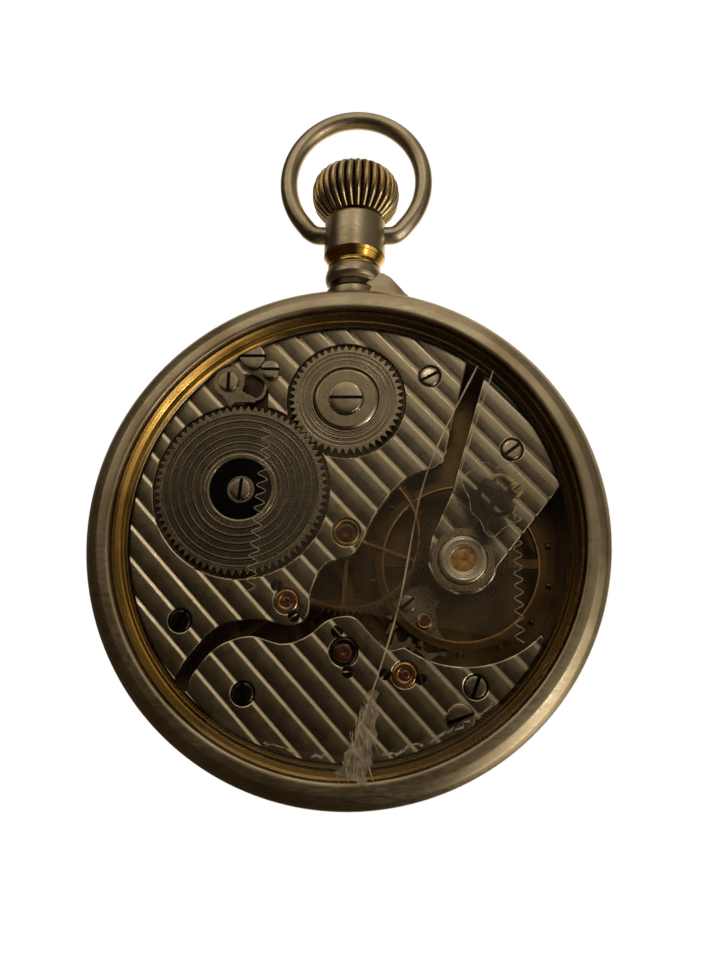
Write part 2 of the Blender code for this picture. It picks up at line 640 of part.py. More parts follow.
def escapement():
    """The fork is drawn with the escape wheel straight below it, then turned to where that wheel is."""
    lean = bearing(PALLET, ESCAPE) + math.pi / 2
    arms = [(-0.5, 0.5), (-3.0, -1.3), (-3.1, -2.46), (-2.6, -2.36), (-2.35, -1.6), (-0.5, -0.45), (0.5, -0.45),
            (2.35, -1.6), (2.6, -2.36), (3.1, -2.46), (3.0, -1.3), (0.5, 0.5)]
    to_balance = bearing(PALLET, BALANCE)
    reach = distance(PALLET, BALANCE)
    lever = [(0.3, -0.28), (reach - 1.6, -0.2), (reach - 1.2, -0.55), (reach - 0.75, -0.5), (reach - 0.8, -0.17),
             (reach - 1.25, -0.17), (reach - 1.25, 0.17), (reach - 0.8, 0.17), (reach - 0.75, 0.5),
             (reach - 1.2, 0.55), (reach - 1.6, 0.2), (0.3, 0.28)]
    staff = [(0, 0.45), (0.16, 0.45), (0.16, 0.15), (0.3, 0.15), (0.3, -1.5), (0.18, -1.5), (0.18, -2.6), (0, -2.6)]
    arbor("pallet_fork", PALLET, staff, STEEL,
          toothed("pallet_arms", turn_about(arms, lean), FORK_LOW, FORK_TOP, PALLET),
          toothed("fork_lever", turn_about(lever, to_balance), FORK_LOW, FORK_TOP, PALLET))

    rim_outer, rim_inner = 8.4, 7.5
    wheel = flat("balance_wheel", [circle(CENTRE, rim_outer, FINE), *(
        arc(CENTRE, rim_inner, first, first + 173, 20) for first in (3.5, 183.5))], 0.8, 1.4, BRASS, BALANCE)
    staff = turned("balance_staff", [
        (0, 3.2), (0.13, 3.2), (0.13, 2.4), (0.3, 2.35), (0.7, 2.2), (0.7, 1.5), (1.2, 1.5), (1.2, 0.85), (0.4, 0.8),
        (0.4, 0.45), (1.3, 0.42), (1.3, 0.25), (0.25, 0.25), (0.25, -1.5), (0.18, -1.5), (0.18, -2.6), (0, -2.6)],
        16, None, at=(*BALANCE, 0))
    back = bearing(BALANCE, PALLET)
    pin = rod("impulse_pin", 0.11, FORK_LOW, 0.35, polar(0.98, back, BALANCE), steps=8)
    joined(wheel, staff, pin)
    for k in range(12):
        angle = math.radians(15 + 30 * k)
        weight = turned(f"rim_screw_{k}", [(0, 9.0), (0.36, 9.0), (0.36, 8.0), (0, 8.0)], 6, None, MOVEMENT,
                        (*BALANCE, 1.1))
        weight.rotation_euler = (math.pi / 2, 0, angle + math.pi / 2)
        joined(wheel, weight)
    cleaned(wheel)
    flat("hairspring", [strip(spiral(1.15, 5.0, 4, 14), 0.12)], 1.9, 2.15, BLUED, BALANCE)


def regulation():
    tail = 7.2
    aim = math.radians(62)
    outline = [polar(3.0, aim + math.radians(a)) for a in range(12, 349, 24)]
    outline += [polar(tail, aim - 0.03), polar(tail, aim + 0.03)]
    flat("regulator", [outline, circle(CENTRE, BALANCE_SETTING_R + 0.1, MIDDLE)], 3.95, 4.1, STEEL, BALANCE)
    ring = arc((14.6, 3.7), 1.9, 35, 300, 14)
    spring = flat("regulator_spring", [strip(ring, 0.45)], 4.16, 4.36, STEEL)
    joined(spring, rod("regulator_spring_foot", 0.75, 4.16, 4.36, REGULATOR_SCREW, steps=16))
    cut(spring, seat("regulator_spring_hole", REGULATOR_SCREW, 0.36))
    screw("regulator_screw", REGULATOR_SCREW, 0.6, 4.65, 4.42, 0.3, 2.6, 40, BRASS)


# ---------------------------------------------------------------- dial side

def hand(name, length, width, hub_in, hub_out, low, high, at, clock):
    """A tapered hand whose hub ring is round; `clock` is degrees clockwise from twelve on the dial."""
    aim = math.radians(90 + clock)
    points = [polar(hub_out, aim + math.radians(a)) for a in range(20, 341, 20)]
    points += [polar(length * 0.6, aim - width / length), polar(length, aim), polar(length * 0.6, aim + width / length)]
    flat(name, [points, circle(CENTRE, hub_in, 16)], low, high, BLUED, at)


def dial_side():
    dial = flat("dial", [circle(CENTRE, 20.9, 64), circle(CENTRE, 1.8, 16), circle(FOURTH, 0.6, SMALL)],
                DIAL_LOW, DIAL_TOP, ENAMEL)
    for i in range(3):
        foot = polar(18.0, math.radians(30 + 120 * i))
        joined(dial, rod(f"dial_foot_{i}", 0.5, DIAL_TOP - 0.2, PLATE_LOW - 0.05, foot))
    cleaned(dial)

    cannon, minute = mesh_pair(CENTRE, MINUTE, CANNON_LEAVES, MINUTE_TEETH)
    minute_pinion, hour = mesh_pair(MINUTE, CENTRE, MINUTE_LEAVES, HOUR_TEETH)
    tube = turned("cannon_pinion", [(0.66, -3.25), (0.9, -3.25), (0.98, -3.6), (0.98, -5.3), (0.66, -5.3)], 16,
                  STEEL)
    cleaned(joined(tube, toothed("cannon_leaves", cannon, -3.5, -3.28, CENTRE, [circle(CENTRE, 0.8, 16)])))
    wheel = flat("minute_wheel", [minute, circle(CENTRE, 0.46, SMALL)], -3.5, -3.28, BRASS, MINUTE)
    cleaned(joined(wheel, toothed("minute_leaves", minute_pinion, -3.8, -3.45, MINUTE,
                                  [circle(CENTRE, 0.46, SMALL)])))
    hour_wheel = turned("hour_wheel", [(1.1, -3.56), (1.45, -3.56), (1.45, -4.8), (1.1, -4.8)], 16, BRASS)
    cleaned(joined(hour_wheel, toothed("hour_rim", hour, -3.8, -3.56, CENTRE, [circle(CENTRE, 1.3, 16)])))

    hand("hour_hand", 10.5, 1.0, 1.5, 2.2, -4.7, -4.5, CENTRE, 305)
    hand("minute_hand", 16.5, 0.9, 1.03, 1.8, -5.25, -5.05, CENTRE, 60)
    hand("seconds_hand", 4.2, 0.4, 0.35, 0.75, -4.62, -4.47, FOURTH, 210)


case_band()
back_cover()
front_cover()
pendant()
bow()
crown()
plates()
settings()
screws()
winding()
train()
escapement()
regulation()
dial_side()
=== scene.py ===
"""Looks of the open face pocket watch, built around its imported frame.

Shapes are drawn in millimetres in two frames. BACK looks at the watch from behind: X right, Y up to the
pendant, Z towards the back glass. STEM has its Z axis along the winding stem, from the case centre.
"""
import math
import random

import bmesh
import bpy
from mathutils import Matrix, Vector


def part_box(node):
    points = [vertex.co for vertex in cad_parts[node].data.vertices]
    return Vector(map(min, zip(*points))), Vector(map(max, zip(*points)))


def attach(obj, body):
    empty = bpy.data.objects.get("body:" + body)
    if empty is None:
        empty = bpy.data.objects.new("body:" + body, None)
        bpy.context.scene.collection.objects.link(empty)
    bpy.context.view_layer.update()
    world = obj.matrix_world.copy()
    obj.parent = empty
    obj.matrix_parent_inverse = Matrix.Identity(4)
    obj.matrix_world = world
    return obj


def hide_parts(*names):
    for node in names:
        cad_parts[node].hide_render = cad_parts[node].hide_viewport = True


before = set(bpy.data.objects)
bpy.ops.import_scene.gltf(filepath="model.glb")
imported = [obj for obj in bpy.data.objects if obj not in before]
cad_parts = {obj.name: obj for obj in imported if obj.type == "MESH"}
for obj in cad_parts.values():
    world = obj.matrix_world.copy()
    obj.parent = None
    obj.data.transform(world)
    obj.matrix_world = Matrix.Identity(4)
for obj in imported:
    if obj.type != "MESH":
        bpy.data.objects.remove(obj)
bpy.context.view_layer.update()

MM = 0.001
CENTRE_Z = sum(corner.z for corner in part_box("pillar_plate")) / 2
STEM = Matrix.Translation((0, 0, CENTRE_Z))
BACK = STEM @ Matrix.Rotation(math.radians(90), 4, "X")

# Arbor positions in the BACK frame, mm
CENTRE = (0.0, 0.0)
BARREL = (-10.4, 4.1)
CROWN_WHEEL = (-0.3, 13.35)
THIRD = (-5.54, -6.63)
FOURTH = (0.0, -11.2)
ESCAPE = (5.65, -13.17)
PALLET = (7.58, -8.12)
BALANCE = (11.1, -2.52)
CLICK = (-12.15, 15.1)
CLICK_SPRING = (-8.01, 16.43)
REGULATOR_SCREW = (16.18, 4.3)
PALLET_SCREW = (5.91, -6.44)
BARREL_BRIDGE_SCREWS = ((8.04, 15.93), (-15.52, -8.59))
TRAIN_BRIDGE_SCREWS = ((-9.21, -15.11), (12.13, -14.14))
CASE_SCREWS = ((-9.9, 17.9), (10.7, -16.9))
COCK_SCREW = (16.02, 8.37)
BRIDGE_R = 21.07
BRIDGE_TOP = 3.9
BRIDGE_LOW = 2.1
RECESS_FLOOR = 3.6
POCKET_FLOOR = 3.35
RATCHET_TEETH = 72
CROWN_WHEEL_TEETH = 48


# ---------------------------------------------------------------- materials

def feed(tree, socket, value):
    """Link another node's output to a socket, or set a plain value on it."""
    if isinstance(value, bpy.types.NodeSocket):
        tree.links.new(value, socket)
    else:
        socket.default_value = value


def add_node(tree, kind, inputs=None, **settings):
    item = tree.nodes.new("ShaderNode" + kind)
    for key, value in settings.items():
        setattr(item, key, value)
    for key, value in (inputs or {}).items():
        feed(tree, item.inputs[key], value)
    return item


def add_ramp(tree, factor, stops):
    """Colours or greys at places along a factor."""
    item = add_node(tree, "ValToRGB", {"Fac": factor})
    marks = item.color_ramp.elements
    while len(marks) < len(stops):
        marks.new(0.5)
    for mark, (at, shade) in zip(marks, stops):
        mark.position = at
        mark.color = (*shade, 1) if isinstance(shade, tuple) else (shade, shade, shade, 1)
    return item.outputs["Color"]


class Look:
    """A Principled material being built; lengths in its coordinates are millimetres."""

    def __init__(self, name, roughness=0.3, metallic=1.0, centre=None, **fixed):
        self.material = bpy.data.materials.new(name)
        self.material.use_nodes = True
        self.tree = self.material.node_tree
        self.shader = self.tree.nodes["Principled BSDF"]
        self.shader.inputs["Roughness"].default_value = roughness
        self.shader.inputs["Metallic"].default_value = metallic
        for key, value in fixed.items():
            self.shader.inputs[key.replace("_", " ")].default_value = value
        here = self.node("TexCoord").outputs["Object"]
        origin = BACK @ Vector((centre[0] * MM, centre[1] * MM, 0)) if centre else STEM.translation
        moved = self.node("VectorMath", {0: here, 1: origin}, operation="SUBTRACT").outputs[0]
        self.place = self.node("VectorMath", {0: moved, 3: 1000}, operation="SCALE").outputs[0]

    def node(self, kind, inputs=None, **settings):
        return add_node(self.tree, kind, inputs, **settings)

    def set(self, name, value):
        feed(self.tree, self.shader.inputs[name], value)
        return self

    def maths(self, operation, a, b=0.0):
        return self.node("Math", {0: a, 1: b}, operation=operation).outputs[0]

    def noise(self, per_mm, detail=3.0, stretch=(1, 1, 1)):
        spread = self.node("VectorMath", {0: self.place, 1: stretch}, operation="MULTIPLY").outputs[0]
        return self.node("TexNoise", {"Vector": spread, "Scale": per_mm, "Detail": detail}).outputs["Fac"]

    def ramp(self, factor, *stops):
        return add_ramp(self.tree, factor, stops)

    def drift(self, per_mm, detail=4, low=0.35, high=0.7):
        """A share from 0 to 1 that drifts in soft patches."""
        return self.ramp(self.noise(per_mm, detail), (low, 0.0), (high, 1.0))

    def rough(self, limits, per_mm, detail=3, stretch=(1, 1, 1)):
        """Roughness that drifts between two limits."""
        noise = self.noise(per_mm, detail, stretch)
        return self.set("Roughness", self.ramp(noise, (0.3, limits[0]), (0.7, limits[1])))

    def mix(self, factor, a, b, blend="MIX"):
        item = self.node("Mix", data_type="RGBA", blend_type=blend)
        for socket, value in ((0, factor), (6, a), (7, b)):
            if not isinstance(value, bpy.types.NodeSocket) and isinstance(value, tuple):
                value = (*value, 1)
            feed(self.tree, item.inputs[socket], value)
        return item.outputs[2]

    def bump(self, height, strength, distance=0.1 * MM):
        before = self.shader.inputs["Normal"]
        item = self.node("Bump", {"Height": height, "Strength": strength, "Distance": distance})
        if before.links:
            self.tree.links.new(before.links[0].from_socket, item.inputs["Normal"])
        self.tree.links.new(item.outputs[0], before)
        return self

    def rings(self, radius, per_mm):
        """Noise that changes only with the radius, as a lathe leaves it."""
        along = self.maths("MULTIPLY", radius, per_mm)
        item = self.node("TexNoise", {"W": along, "Detail": 2.0, "Scale": 1.0}, noise_dimensions="1D")
        return item.outputs["Fac"]

    def along(self, direction):
        """How far a place lies in a direction."""
        item = self.node("VectorMath", {0: self.place, 1: direction}, operation="DOT_PRODUCT")
        return item.outputs["Value"]

    def radius(self):
        """Distance from the material's centre across the watch's face."""
        across = self.node("VectorMath", {0: self.place, 1: (1, 0, 1)}, operation="MULTIPLY").outputs[0]
        return self.node("VectorMath", {0: across}, operation="LENGTH").outputs["Value"]


def worn_metal(name, light, dark, rough=(0.26, 0.42), patch=0.22):
    """Polished metal with dull patches, fine scratches and a little dirt."""
    look = Look(name)
    patches = look.drift(patch, 5, 0.36, 0.68)
    specks = look.drift(2.6, 4, 0.62, 0.78)
    tone = look.mix(patches, light, dark)
    look.set("Base Color", look.mix(look.maths("MULTIPLY", specks, 0.35), tone,
                                    tuple(0.5 * value for value in dark)))
    look.rough(rough, 1.1, 6, (1, 1, 4))
    return look.bump(look.noise(5.5, 4), 0.05, 0.04 * MM).bump(look.noise(0.35, 2), 0.15)


def turned_metal(name, light, dark, rough=(0.2, 0.32)):
    """Metal with a lathe's fine rings around the watch's axis and random tarnished patches; its colour is
    also darkened everywhere except towards the upper left, as painted shade.
    """
    look = Look(name, centre=CENTRE)
    rings = look.rings(look.radius(), 7.0)
    tone = look.mix(look.ramp(rings, (0.35, 0.0), (0.65, 1.0)), light, dark)
    # Painted shade: by place alone, the colour darkens away from the upper left. Random tarnished patches are
    # mixed in.
    side = look.maths("MULTIPLY", look.along((0.9, 0, -0.45)), 1 / 40)
    painted_side_shade = look.ramp(look.maths("ADD", side, 0.5), (0.10, 0.0), (0.42, 1.0))
    tarnish_and_painted_shade = look.maths("MAXIMUM", painted_side_shade, look.ramp(look.noise(0.25, 4), (0.4, 0.0), (0.7, 0.7)))
    look.set("Base Color", look.mix(tarnish_and_painted_shade, tone, tuple(0.3 * value for value in dark)))
    look.rough(rough, 0.9)
    return look.bump(rings, 0.4, 0.06 * MM)


def striped_nickel(name):
    """Nickel with damaskeening: bands running down to the right, with a bumped ridge between each two. The
    colour carries painted shading graded across each band and a painted highlight along each ridge.
    """
    look = Look(name)
    across = look.along((math.sin(STRIPE), 0, math.cos(STRIPE)))
    count = look.maths("MULTIPLY", look.maths("ADD", across, STRIPE_SHIFT), 1 / STRIPE_PITCH)
    spread = look.maths("MULTIPLY", look.maths("MULTIPLY", count, count), 0.0017)
    count = look.maths("SUBTRACT", count, spread)
    wander = look.maths("MULTIPLY", look.maths("SUBTRACT", look.noise(0.9, 2), 0.5), 0.03)
    band = look.maths("FRACT", look.maths("ADD", count, wander))
    # Painted shading and a painted highlight: the colour grades from dark to light across each band and peaks
    # at the ridge.
    shade = look.ramp(band, (0.0, 0.85), (0.05, 1.0), (0.13, 0.60), (0.22, 0.42), (0.36, 0.42), (0.66, 0.66),
                      (0.92, 0.95))
    brushed = look.noise(9.0)
    patches = look.ramp(look.noise(0.16, 4), (0.35, (1.0, 0.93, 0.76)), (0.7, (0.86, 0.78, 0.60)))
    tone = look.mix(1.0, patches, shade, "MULTIPLY")
    look.set("Base Color", look.mix(look.maths("MULTIPLY", brushed, 0.2), tone, (0.16, 0.12, 0.07)))
    look.rough((0.24, 0.34), 0.8, 4)
    saw = look.ramp(band, (0.0, 0.93), (0.15, 0.0), (0.30, 0.36), (0.60, 0.80), (0.94, 1.0), (1.0, 0.93))
    return look.bump(saw, 1.0, 0.12 * MM).bump(brushed, 0.06, 0.05 * MM)


def snailed_steel(name, centre, rings, light, dark):
    """Steel brushed in circles about a centre, with cut rings at the given radii that are painted a little
    brighter as a highlight.
    """
    look = Look(name, centre=centre)
    radius = look.radius()
    share = look.maths("MULTIPLY", radius, 0.1)
    stops = []
    for at in rings:
        stops += [(at / 10 - 0.012, 0.0), (at / 10, 1.0), (at / 10 + 0.012, 0.0)]
    groove = look.ramp(share, *stops)
    spun = look.rings(radius, 9.0)
    tone = look.mix(look.drift(0.35), light, dark)
    # Painted highlight: the cut rings are mixed towards a brighter copy of the steel.
    bright = tuple(1.5 * value for value in light)
    look.set("Base Color", look.mix(look.maths("MULTIPLY", groove, 0.08), tone, bright))
    look.rough((0.2, 0.28), 1.5)
    return look.bump(groove, 0.38, 0.06 * MM).bump(spun, 0.35, 0.05 * MM)


def brushed_steel(name, light, dark, rough=(0.16, 0.3), lean=0.0):
    """Finely finished steel; lean gives its shading a constant slope, so level faces mirror another place."""
    look = Look(name)
    look.set("Base Color", look.mix(look.drift(0.9), light, dark))
    look.rough(rough, 2.2)
    return look.bump(look.along((-0.6, 0, -0.8)), 1.0, lean * MM).bump(look.noise(5.0, 3), 0.04, 0.03 * MM)


def clouded(name, light, dark, roughness, per_mm, metallic=0.0, **fixed):
    """A smooth non-metal or film whose colour drifts a little."""
    look = Look(name, metallic=metallic, **fixed)
    look.set("Base Color", look.mix(look.drift(per_mm), light, dark))
    return look.rough((roughness, roughness * 1.5), per_mm * 3)


STRIPE = math.radians(46.3)      # the bands' normal, from up towards the right
STRIPE_PITCH = 2.08
STRIPE_SHIFT = 0.68

CASE = worn_metal("case_nickel", (0.60, 0.56, 0.46), (0.44, 0.39, 0.30))
BEZEL = worn_metal("bezel_nickel", (0.60, 0.55, 0.44), (0.42, 0.36, 0.26), (0.28, 0.44))
CROWN = worn_metal("crown_metal", (0.62, 0.54, 0.38), (0.56, 0.40, 0.14), (0.20, 0.34), 0.3)
VALLEY_DARK = clouded("crown_valley_dark", (0.045, 0.03, 0.015), (0.02, 0.013, 0.008), 0.5, 1.5)
# Painted shade: the pillar plate lies deep under the bridges and is darkened to the shade that fills the
# gaps.
PLATE_PAINTED_SHADE = worn_metal("plate_nickel_painted_shade", (0.34, 0.24, 0.12), (0.12, 0.07, 0.03), (0.32, 0.46))
GILT = turned_metal("gilt", (1.0, 0.68, 0.19), (0.40, 0.24, 0.06), (0.16, 0.26))
# Painted shade: a dark metal laid on the bridges' recess and pocket floors and under the pendant's bead,
# where shade falls.
PAINTED_SHADE = worn_metal("painted_shade_dark", (0.13, 0.11, 0.08), (0.06, 0.05, 0.035), (0.3, 0.45))
BRASS = worn_metal("brass", (0.62, 0.42, 0.17), (0.36, 0.22, 0.07), (0.22, 0.36))
COPPER = worn_metal("copper_setting", (0.92, 0.58, 0.32), (0.72, 0.40, 0.17), (0.14, 0.24))
# Painted shade: brass darkened for the barrel, the lower wheels, the centre wheel's toothed rim and the
# balance's rim and weights.
BRASS_PAINTED_SHADE = worn_metal("brass_painted_shade", (0.22, 0.15, 0.07), (0.12, 0.075, 0.03), (0.3, 0.45))
NICKEL = striped_nickel("bridge_nickel")
EDGE = brushed_steel("bridge_edge", (0.82, 0.75, 0.60), (0.62, 0.54, 0.40), (0.12, 0.22))
CAP = brushed_steel("cap_steel", (0.50, 0.45, 0.34), (0.40, 0.35, 0.26), (0.24, 0.32))
STEEL = brushed_steel("screw_steel", (0.46, 0.42, 0.34), (0.28, 0.25, 0.20), (0.12, 0.22), 0.07)
# Painted shade: a darkened copy of the screw steel, for screws and a jewel setting towards the bottom and
# lower left.
STEEL_PAINTED_SHADE = brushed_steel("steel_painted_shade", (0.10, 0.085, 0.07), (0.04, 0.034, 0.03), (0.12, 0.2))
# Painted shade: near-black laid in screw slots and in the ratchet's recessed centre.
BLACK_PAINTED_SHADE = brushed_steel("black_painted_shade", (0.03, 0.03, 0.035), (0.016, 0.016, 0.018), (0.08, 0.14))
MIRROR = brushed_steel("mirror_steel", (0.66, 0.60, 0.50), (0.56, 0.50, 0.42), (0.06, 0.10))
TEETH = brushed_steel("tooth_steel", (0.58, 0.52, 0.40), (0.42, 0.37, 0.27), (0.2, 0.32))
BLUED = brushed_steel("blued_steel", (0.05, 0.06, 0.16), (0.03, 0.03, 0.08), (0.15, 0.26))
BALANCE_CAP = snailed_steel("balance_cap_steel", BALANCE, (1.9,), (0.96, 0.91, 0.76), (0.84, 0.78, 0.62))
SPRING = brushed_steel("spring_steel", (0.16, 0.15, 0.13), (0.08, 0.075, 0.07))
RATCHET = snailed_steel("ratchet_steel", BARREL, (3.9, 4.65, 5.4, 6.15, 6.9, 7.6), (0.24, 0.215, 0.18),
                        (0.18, 0.165, 0.135))
CROWN_STEEL = snailed_steel("crown_wheel_steel", CROWN_WHEEL, (3.4, 4.1, 4.55, 4.95), (0.42, 0.38, 0.30),
                            (0.30, 0.265, 0.20))
RUBY = clouded("ruby", (0.16, 0.05, 0.025), (0.06, 0.018, 0.012), 0.06, 1.5, Coat_Weight=0.6)
AMBER = clouded("amber_ruby", (0.80, 0.45, 0.12), (0.40, 0.15, 0.03), 0.06, 1.5, Coat_Weight=0.6)
ENAMEL = clouded("enamel", (0.86, 0.84, 0.77), (0.80, 0.77, 0.68), 0.16, 0.2, Coat_Weight=0.4)
INK = clouded("dial_ink", (0.02, 0.02, 0.022), (0.035, 0.03, 0.03), 0.3, 1.0)
GLASS = clouded("crystal", (0.03, 0.03, 0.03), (0.02, 0.02, 0.02), 0.04, 0.3, Alpha=0.05)
# Painted reflection: the cracks in the glass are drawn as bright lines.
CRACK = clouded("crack_edge", (0.95, 0.90, 0.76), (0.75, 0.68, 0.52), 0.25, 1.5, Alpha=0.8)
FILM = clouded("tape_film", (0.86, 0.80, 0.66), (0.62, 0.56, 0.44), 0.25, 0.35, Alpha=0.025)
SMEAR = clouded("smeared_film", (0.92, 0.87, 0.74), (0.40, 0.34, 0.24), 0.3, 1.2, Alpha=0.30)
# Scuffed film; along the tape's torn edges and the crumple's rim it is also a painted highlight.
SCUFF_AND_HIGHLIGHT = clouded("scuffed_film_and_painted_highlight", (0.92, 0.87, 0.76), (0.45, 0.39, 0.28), 0.3, 3.0, Alpha=0.6)


# ---------------------------------------------------------------- outlines

def polar(radius, angle, centre=(0.0, 0.0)):
    return (centre[0] + radius * math.cos(angle), centre[1] + radius * math.sin(angle))


def arc(centre, radius, first, last, count):
    step = (last - first) / (count - 1)
    return [polar(radius, math.radians(first + step * i), centre) for i in range(count)]


def circle(centre, radius, count=64):
    return [polar(radius, math.tau * i / count, centre) for i in range(count)]


def smooth(points, parts=6):
    """A Catmull-Rom curve through the points."""
    path = []
    last = len(points) - 1
    for i in range(last):
        p0, p1, p2, p3 = points[max(i - 1, 0)], points[i], points[i + 1], points[min(i + 2, last)]
        for j in range(parts):
            t = j / parts
            path.append(tuple(
                0.5 * (2 * b + (c - a) * t + (2 * a - 5 * b + 4 * c - d) * t ** 2
                       + (3 * b - a - 3 * c + d) * t ** 3)
                for a, b, c, d in zip(p0, p1, p2, p3)))
    return path + [points[last]]


def strip(path, width):
    """The outline of a ribbon along a path; width is one number or one for each point."""
    sides = ([], [])
    for i, (x, y) in enumerate(path):
        ahead, behind = path[min(i + 1, len(path) - 1)], path[max(i - 1, 0)]
        dx, dy = ahead[0] - behind[0], ahead[1] - behind[1]
        half = (width[i] if isinstance(width, list) else width) / 2 / math.hypot(dx, dy)
        sides[0].append((x - dy * half, y + dx * half))
        sides[1].append((x + dy * half, y - dx * half))
    return sides[0] + sides[1][::-1]


def rounded(profile, radius, parts=3):
    """A closed profile with its corners eased; points on the axis stay sharp."""
    eased = []
    for i, corner in enumerate(profile):
        if corner[0] == 0:
            eased.append(corner)
            continue
        before, after = Vector(profile[i - 1]), Vector(profile[(i + 1) % len(profile)])
        here = Vector(corner)
        start = here + (before - here).normalized() * min(radius, 0.45 * (before - here).length)
        end = here + (after - here).normalized() * min(radius, 0.45 * (after - here).length)
        for j in range(parts + 1):
            t = j / parts
            eased.append(tuple(start * (1 - t) ** 2 + here * 2 * t * (1 - t) + end * t * t))
    return eased


def distance(a, b):
    return math.hypot(b[0] - a[0], b[1] - a[1])


def bearing(a, b):
    return math.atan2(b[1] - a[1], b[0] - a[0])


def gear(teeth, pitch, turn, module, tip=0.10, root=0.20):
    """Teeth with a narrow land at tip and root; one tip points along `turn`."""
    points = []
    step = math.tau / teeth
    for k in range(teeth):
        for share, height in ((-tip, 0.9), (tip, 0.9), (0.5 - root, -1.35), (0.5 + root, -1.35)):
            points.append(polar(pitch + height * module, turn + step * (k + share)))
    return points


def mesh_pair(a, b, teeth_a, teeth_b, **shape):
    module = 2 * distance(a, b) / (teeth_a + teeth_b)
    towards = bearing(a, b)
    first = gear(teeth_a, module * teeth_a / 2, towards, module, **shape)
    second = gear(teeth_b, module * teeth_b / 2, towards + math.pi * (1 + 1 / teeth_b), module, **shape)
    return first, second


def spiral(inner, outer, turns, per_turn):
    count = int(turns * per_turn)
    return [polar(inner + (outer - inner) * i / count, math.tau * i / per_turn) for i in range(count + 1)]


def sector_windows(count, inner, outer, spoke, turn=0.0, points=14):
    windows = []
    for k in range(count):
        middle = turn + math.tau * (k + 0.5) / count
        half_out = math.pi / count - math.asin(spoke / 2 / outer)
        half_in = math.pi / count - math.asin(spoke / 2 / inner)
        rim = [polar(outer, middle - half_out + 2 * half_out * i / points) for i in range(points + 1)]
        hub = [polar(inner, middle + half_in - 2 * half_in * i / 6) for i in range(7)]
        windows.append(rim + hub)
    return windows


# ---------------------------------------------------------------- meshes

def placed(name, data):
    """A new object in the scene."""
    item = bpy.data.objects.new(name, data)
    bpy.context.scene.collection.objects.link(item)
    return item


def built(verts, faces):
    mesh = bpy.data.meshes.new("built")
    mesh.from_pydata(verts, [], faces)
    return mesh


def paint(mesh, choose):
    """Give each face the material number that choose() works out for it."""
    for polygon in mesh.polygons:
        polygon.material_index = choose(polygon)


def baked(item):
    """The finished mesh of an object that is made only for it."""
    bpy.context.view_layer.update()
    mesh = bpy.data.meshes.new_from_object(item.evaluated_get(bpy.context.evaluated_depsgraph_get()))
    bpy.data.objects.remove(item)
    return mesh


def worked(mesh, *steps):
    """The mesh after some modifiers, each (kind, settings)."""
    item = placed("work", mesh)
    for kind, settings in steps:
        step = item.modifiers.new(kind.lower(), kind)
        for key, value in settings.items():
            setattr(step, key, value)
    return baked(item)


def carved(mesh, *tools, operation="DIFFERENCE"):
    """The mesh with others cut out of it, or joined on."""
    items = [placed("tool", tool) for tool in tools]
    result = worked(mesh, *[("BOOLEAN", {"object": item, "operation": operation, "solver": "EXACT"})
                            for item in items])
    for item in items:
        bpy.data.objects.remove(item)
    return result


def bevelled(mesh, width, segments=2, angle=42, material=-1, clamp=True):
    return worked(mesh, ("BEVEL", {"width": width * MM, "segments": segments, "limit_method": "ANGLE",
                                   "angle_limit": math.radians(angle), "use_clamp_overlap": clamp,
                                   "material": material}))


def lathe(profile, steps=96, at=(0.0, 0.0), lean=None):
    """A body of revolution about Z from a closed (radius, height) profile."""
    verts, faces = [], []
    count = len(profile)
    for i in range(steps):
        c, s = math.cos(math.tau * i / steps), math.sin(math.tau * i / steps)
        verts += [(r * c * MM, r * s * MM, z * MM) for r, z in profile]
    for i in range(steps):
        a, b = i * count, (i + 1) % steps * count
        for j in range(count):
            k = (j + 1) % count
            faces.append((a + j, b + j, b + k, a + k))
    mesh = sealed(built(verts, faces))
    if lean:
        mesh.transform(lean)
    mesh.transform(Matrix.Translation((at[0] * MM, at[1] * MM, 0)))
    return mesh


def sealed(mesh):
    """Weld the seams, drop collapsed faces and face everything outwards."""
    work = bmesh.new()
    work.from_mesh(mesh)
    bmesh.ops.remove_doubles(work, verts=work.verts, dist=1e-7)
    bmesh.ops.dissolve_degenerate(work, edges=work.edges, dist=1e-8)
    bmesh.ops.recalc_face_normals(work, faces=work.faces)
    work.to_mesh(mesh)
    work.free()
    return mesh


def sheet(loops, low, high):
    """A flat outline, with any holes as further loops, between two heights."""
    curve = bpy.data.curves.new("outline", "CURVE")
    curve.dimensions = "2D"
    curve.fill_mode = "BOTH"
    curve.extrude = (high - low) / 2 * MM
    for loop in loops:
        spline = curve.splines.new("POLY")
        spline.points.add(len(loop) - 1)
        for point, (x, y) in zip(spline.points, loop):
            point.co = (x * MM, y * MM, 0, 1)
        spline.use_cyclic_u = True
    mesh = baked(placed("outline", curve))
    mesh.materials.clear()
    work = bmesh.new()
    work.from_mesh(mesh)
    bmesh.ops.remove_doubles(work, verts=work.verts, dist=1e-7)
    bmesh.ops.recalc_face_normals(work, faces=work.faces)
    bmesh.ops.dissolve_limit(work, angle_limit=math.radians(0.05), verts=work.verts, edges=work.edges)
    work.to_mesh(mesh)
    work.free()
    mesh.transform(Matrix.Translation((0, 0, (high + low) / 2 * MM)))
    return mesh


def moved(mesh, x, y, angle=0.0):
    mesh.transform(Matrix.Translation((x * MM, y * MM, 0)) @ Matrix.Rotation(math.radians(angle), 4, "Z"))
    return mesh


def merged(meshes):
    """Several meshes as one, each face with the material number it had."""
    work = bmesh.new()
    for mesh in meshes:
        work.from_mesh(mesh)
    result = bpy.data.meshes.new("merged")
    work.to_mesh(result)
    work.free()
    return result


def together(*meshes):
    """Several meshes as one; the faces of each take its place in the list as their material."""
    for index, mesh in enumerate(meshes):
        mesh.polygons.foreach_set("material_index", [index] * len(mesh.polygons))
    return merged(meshes)


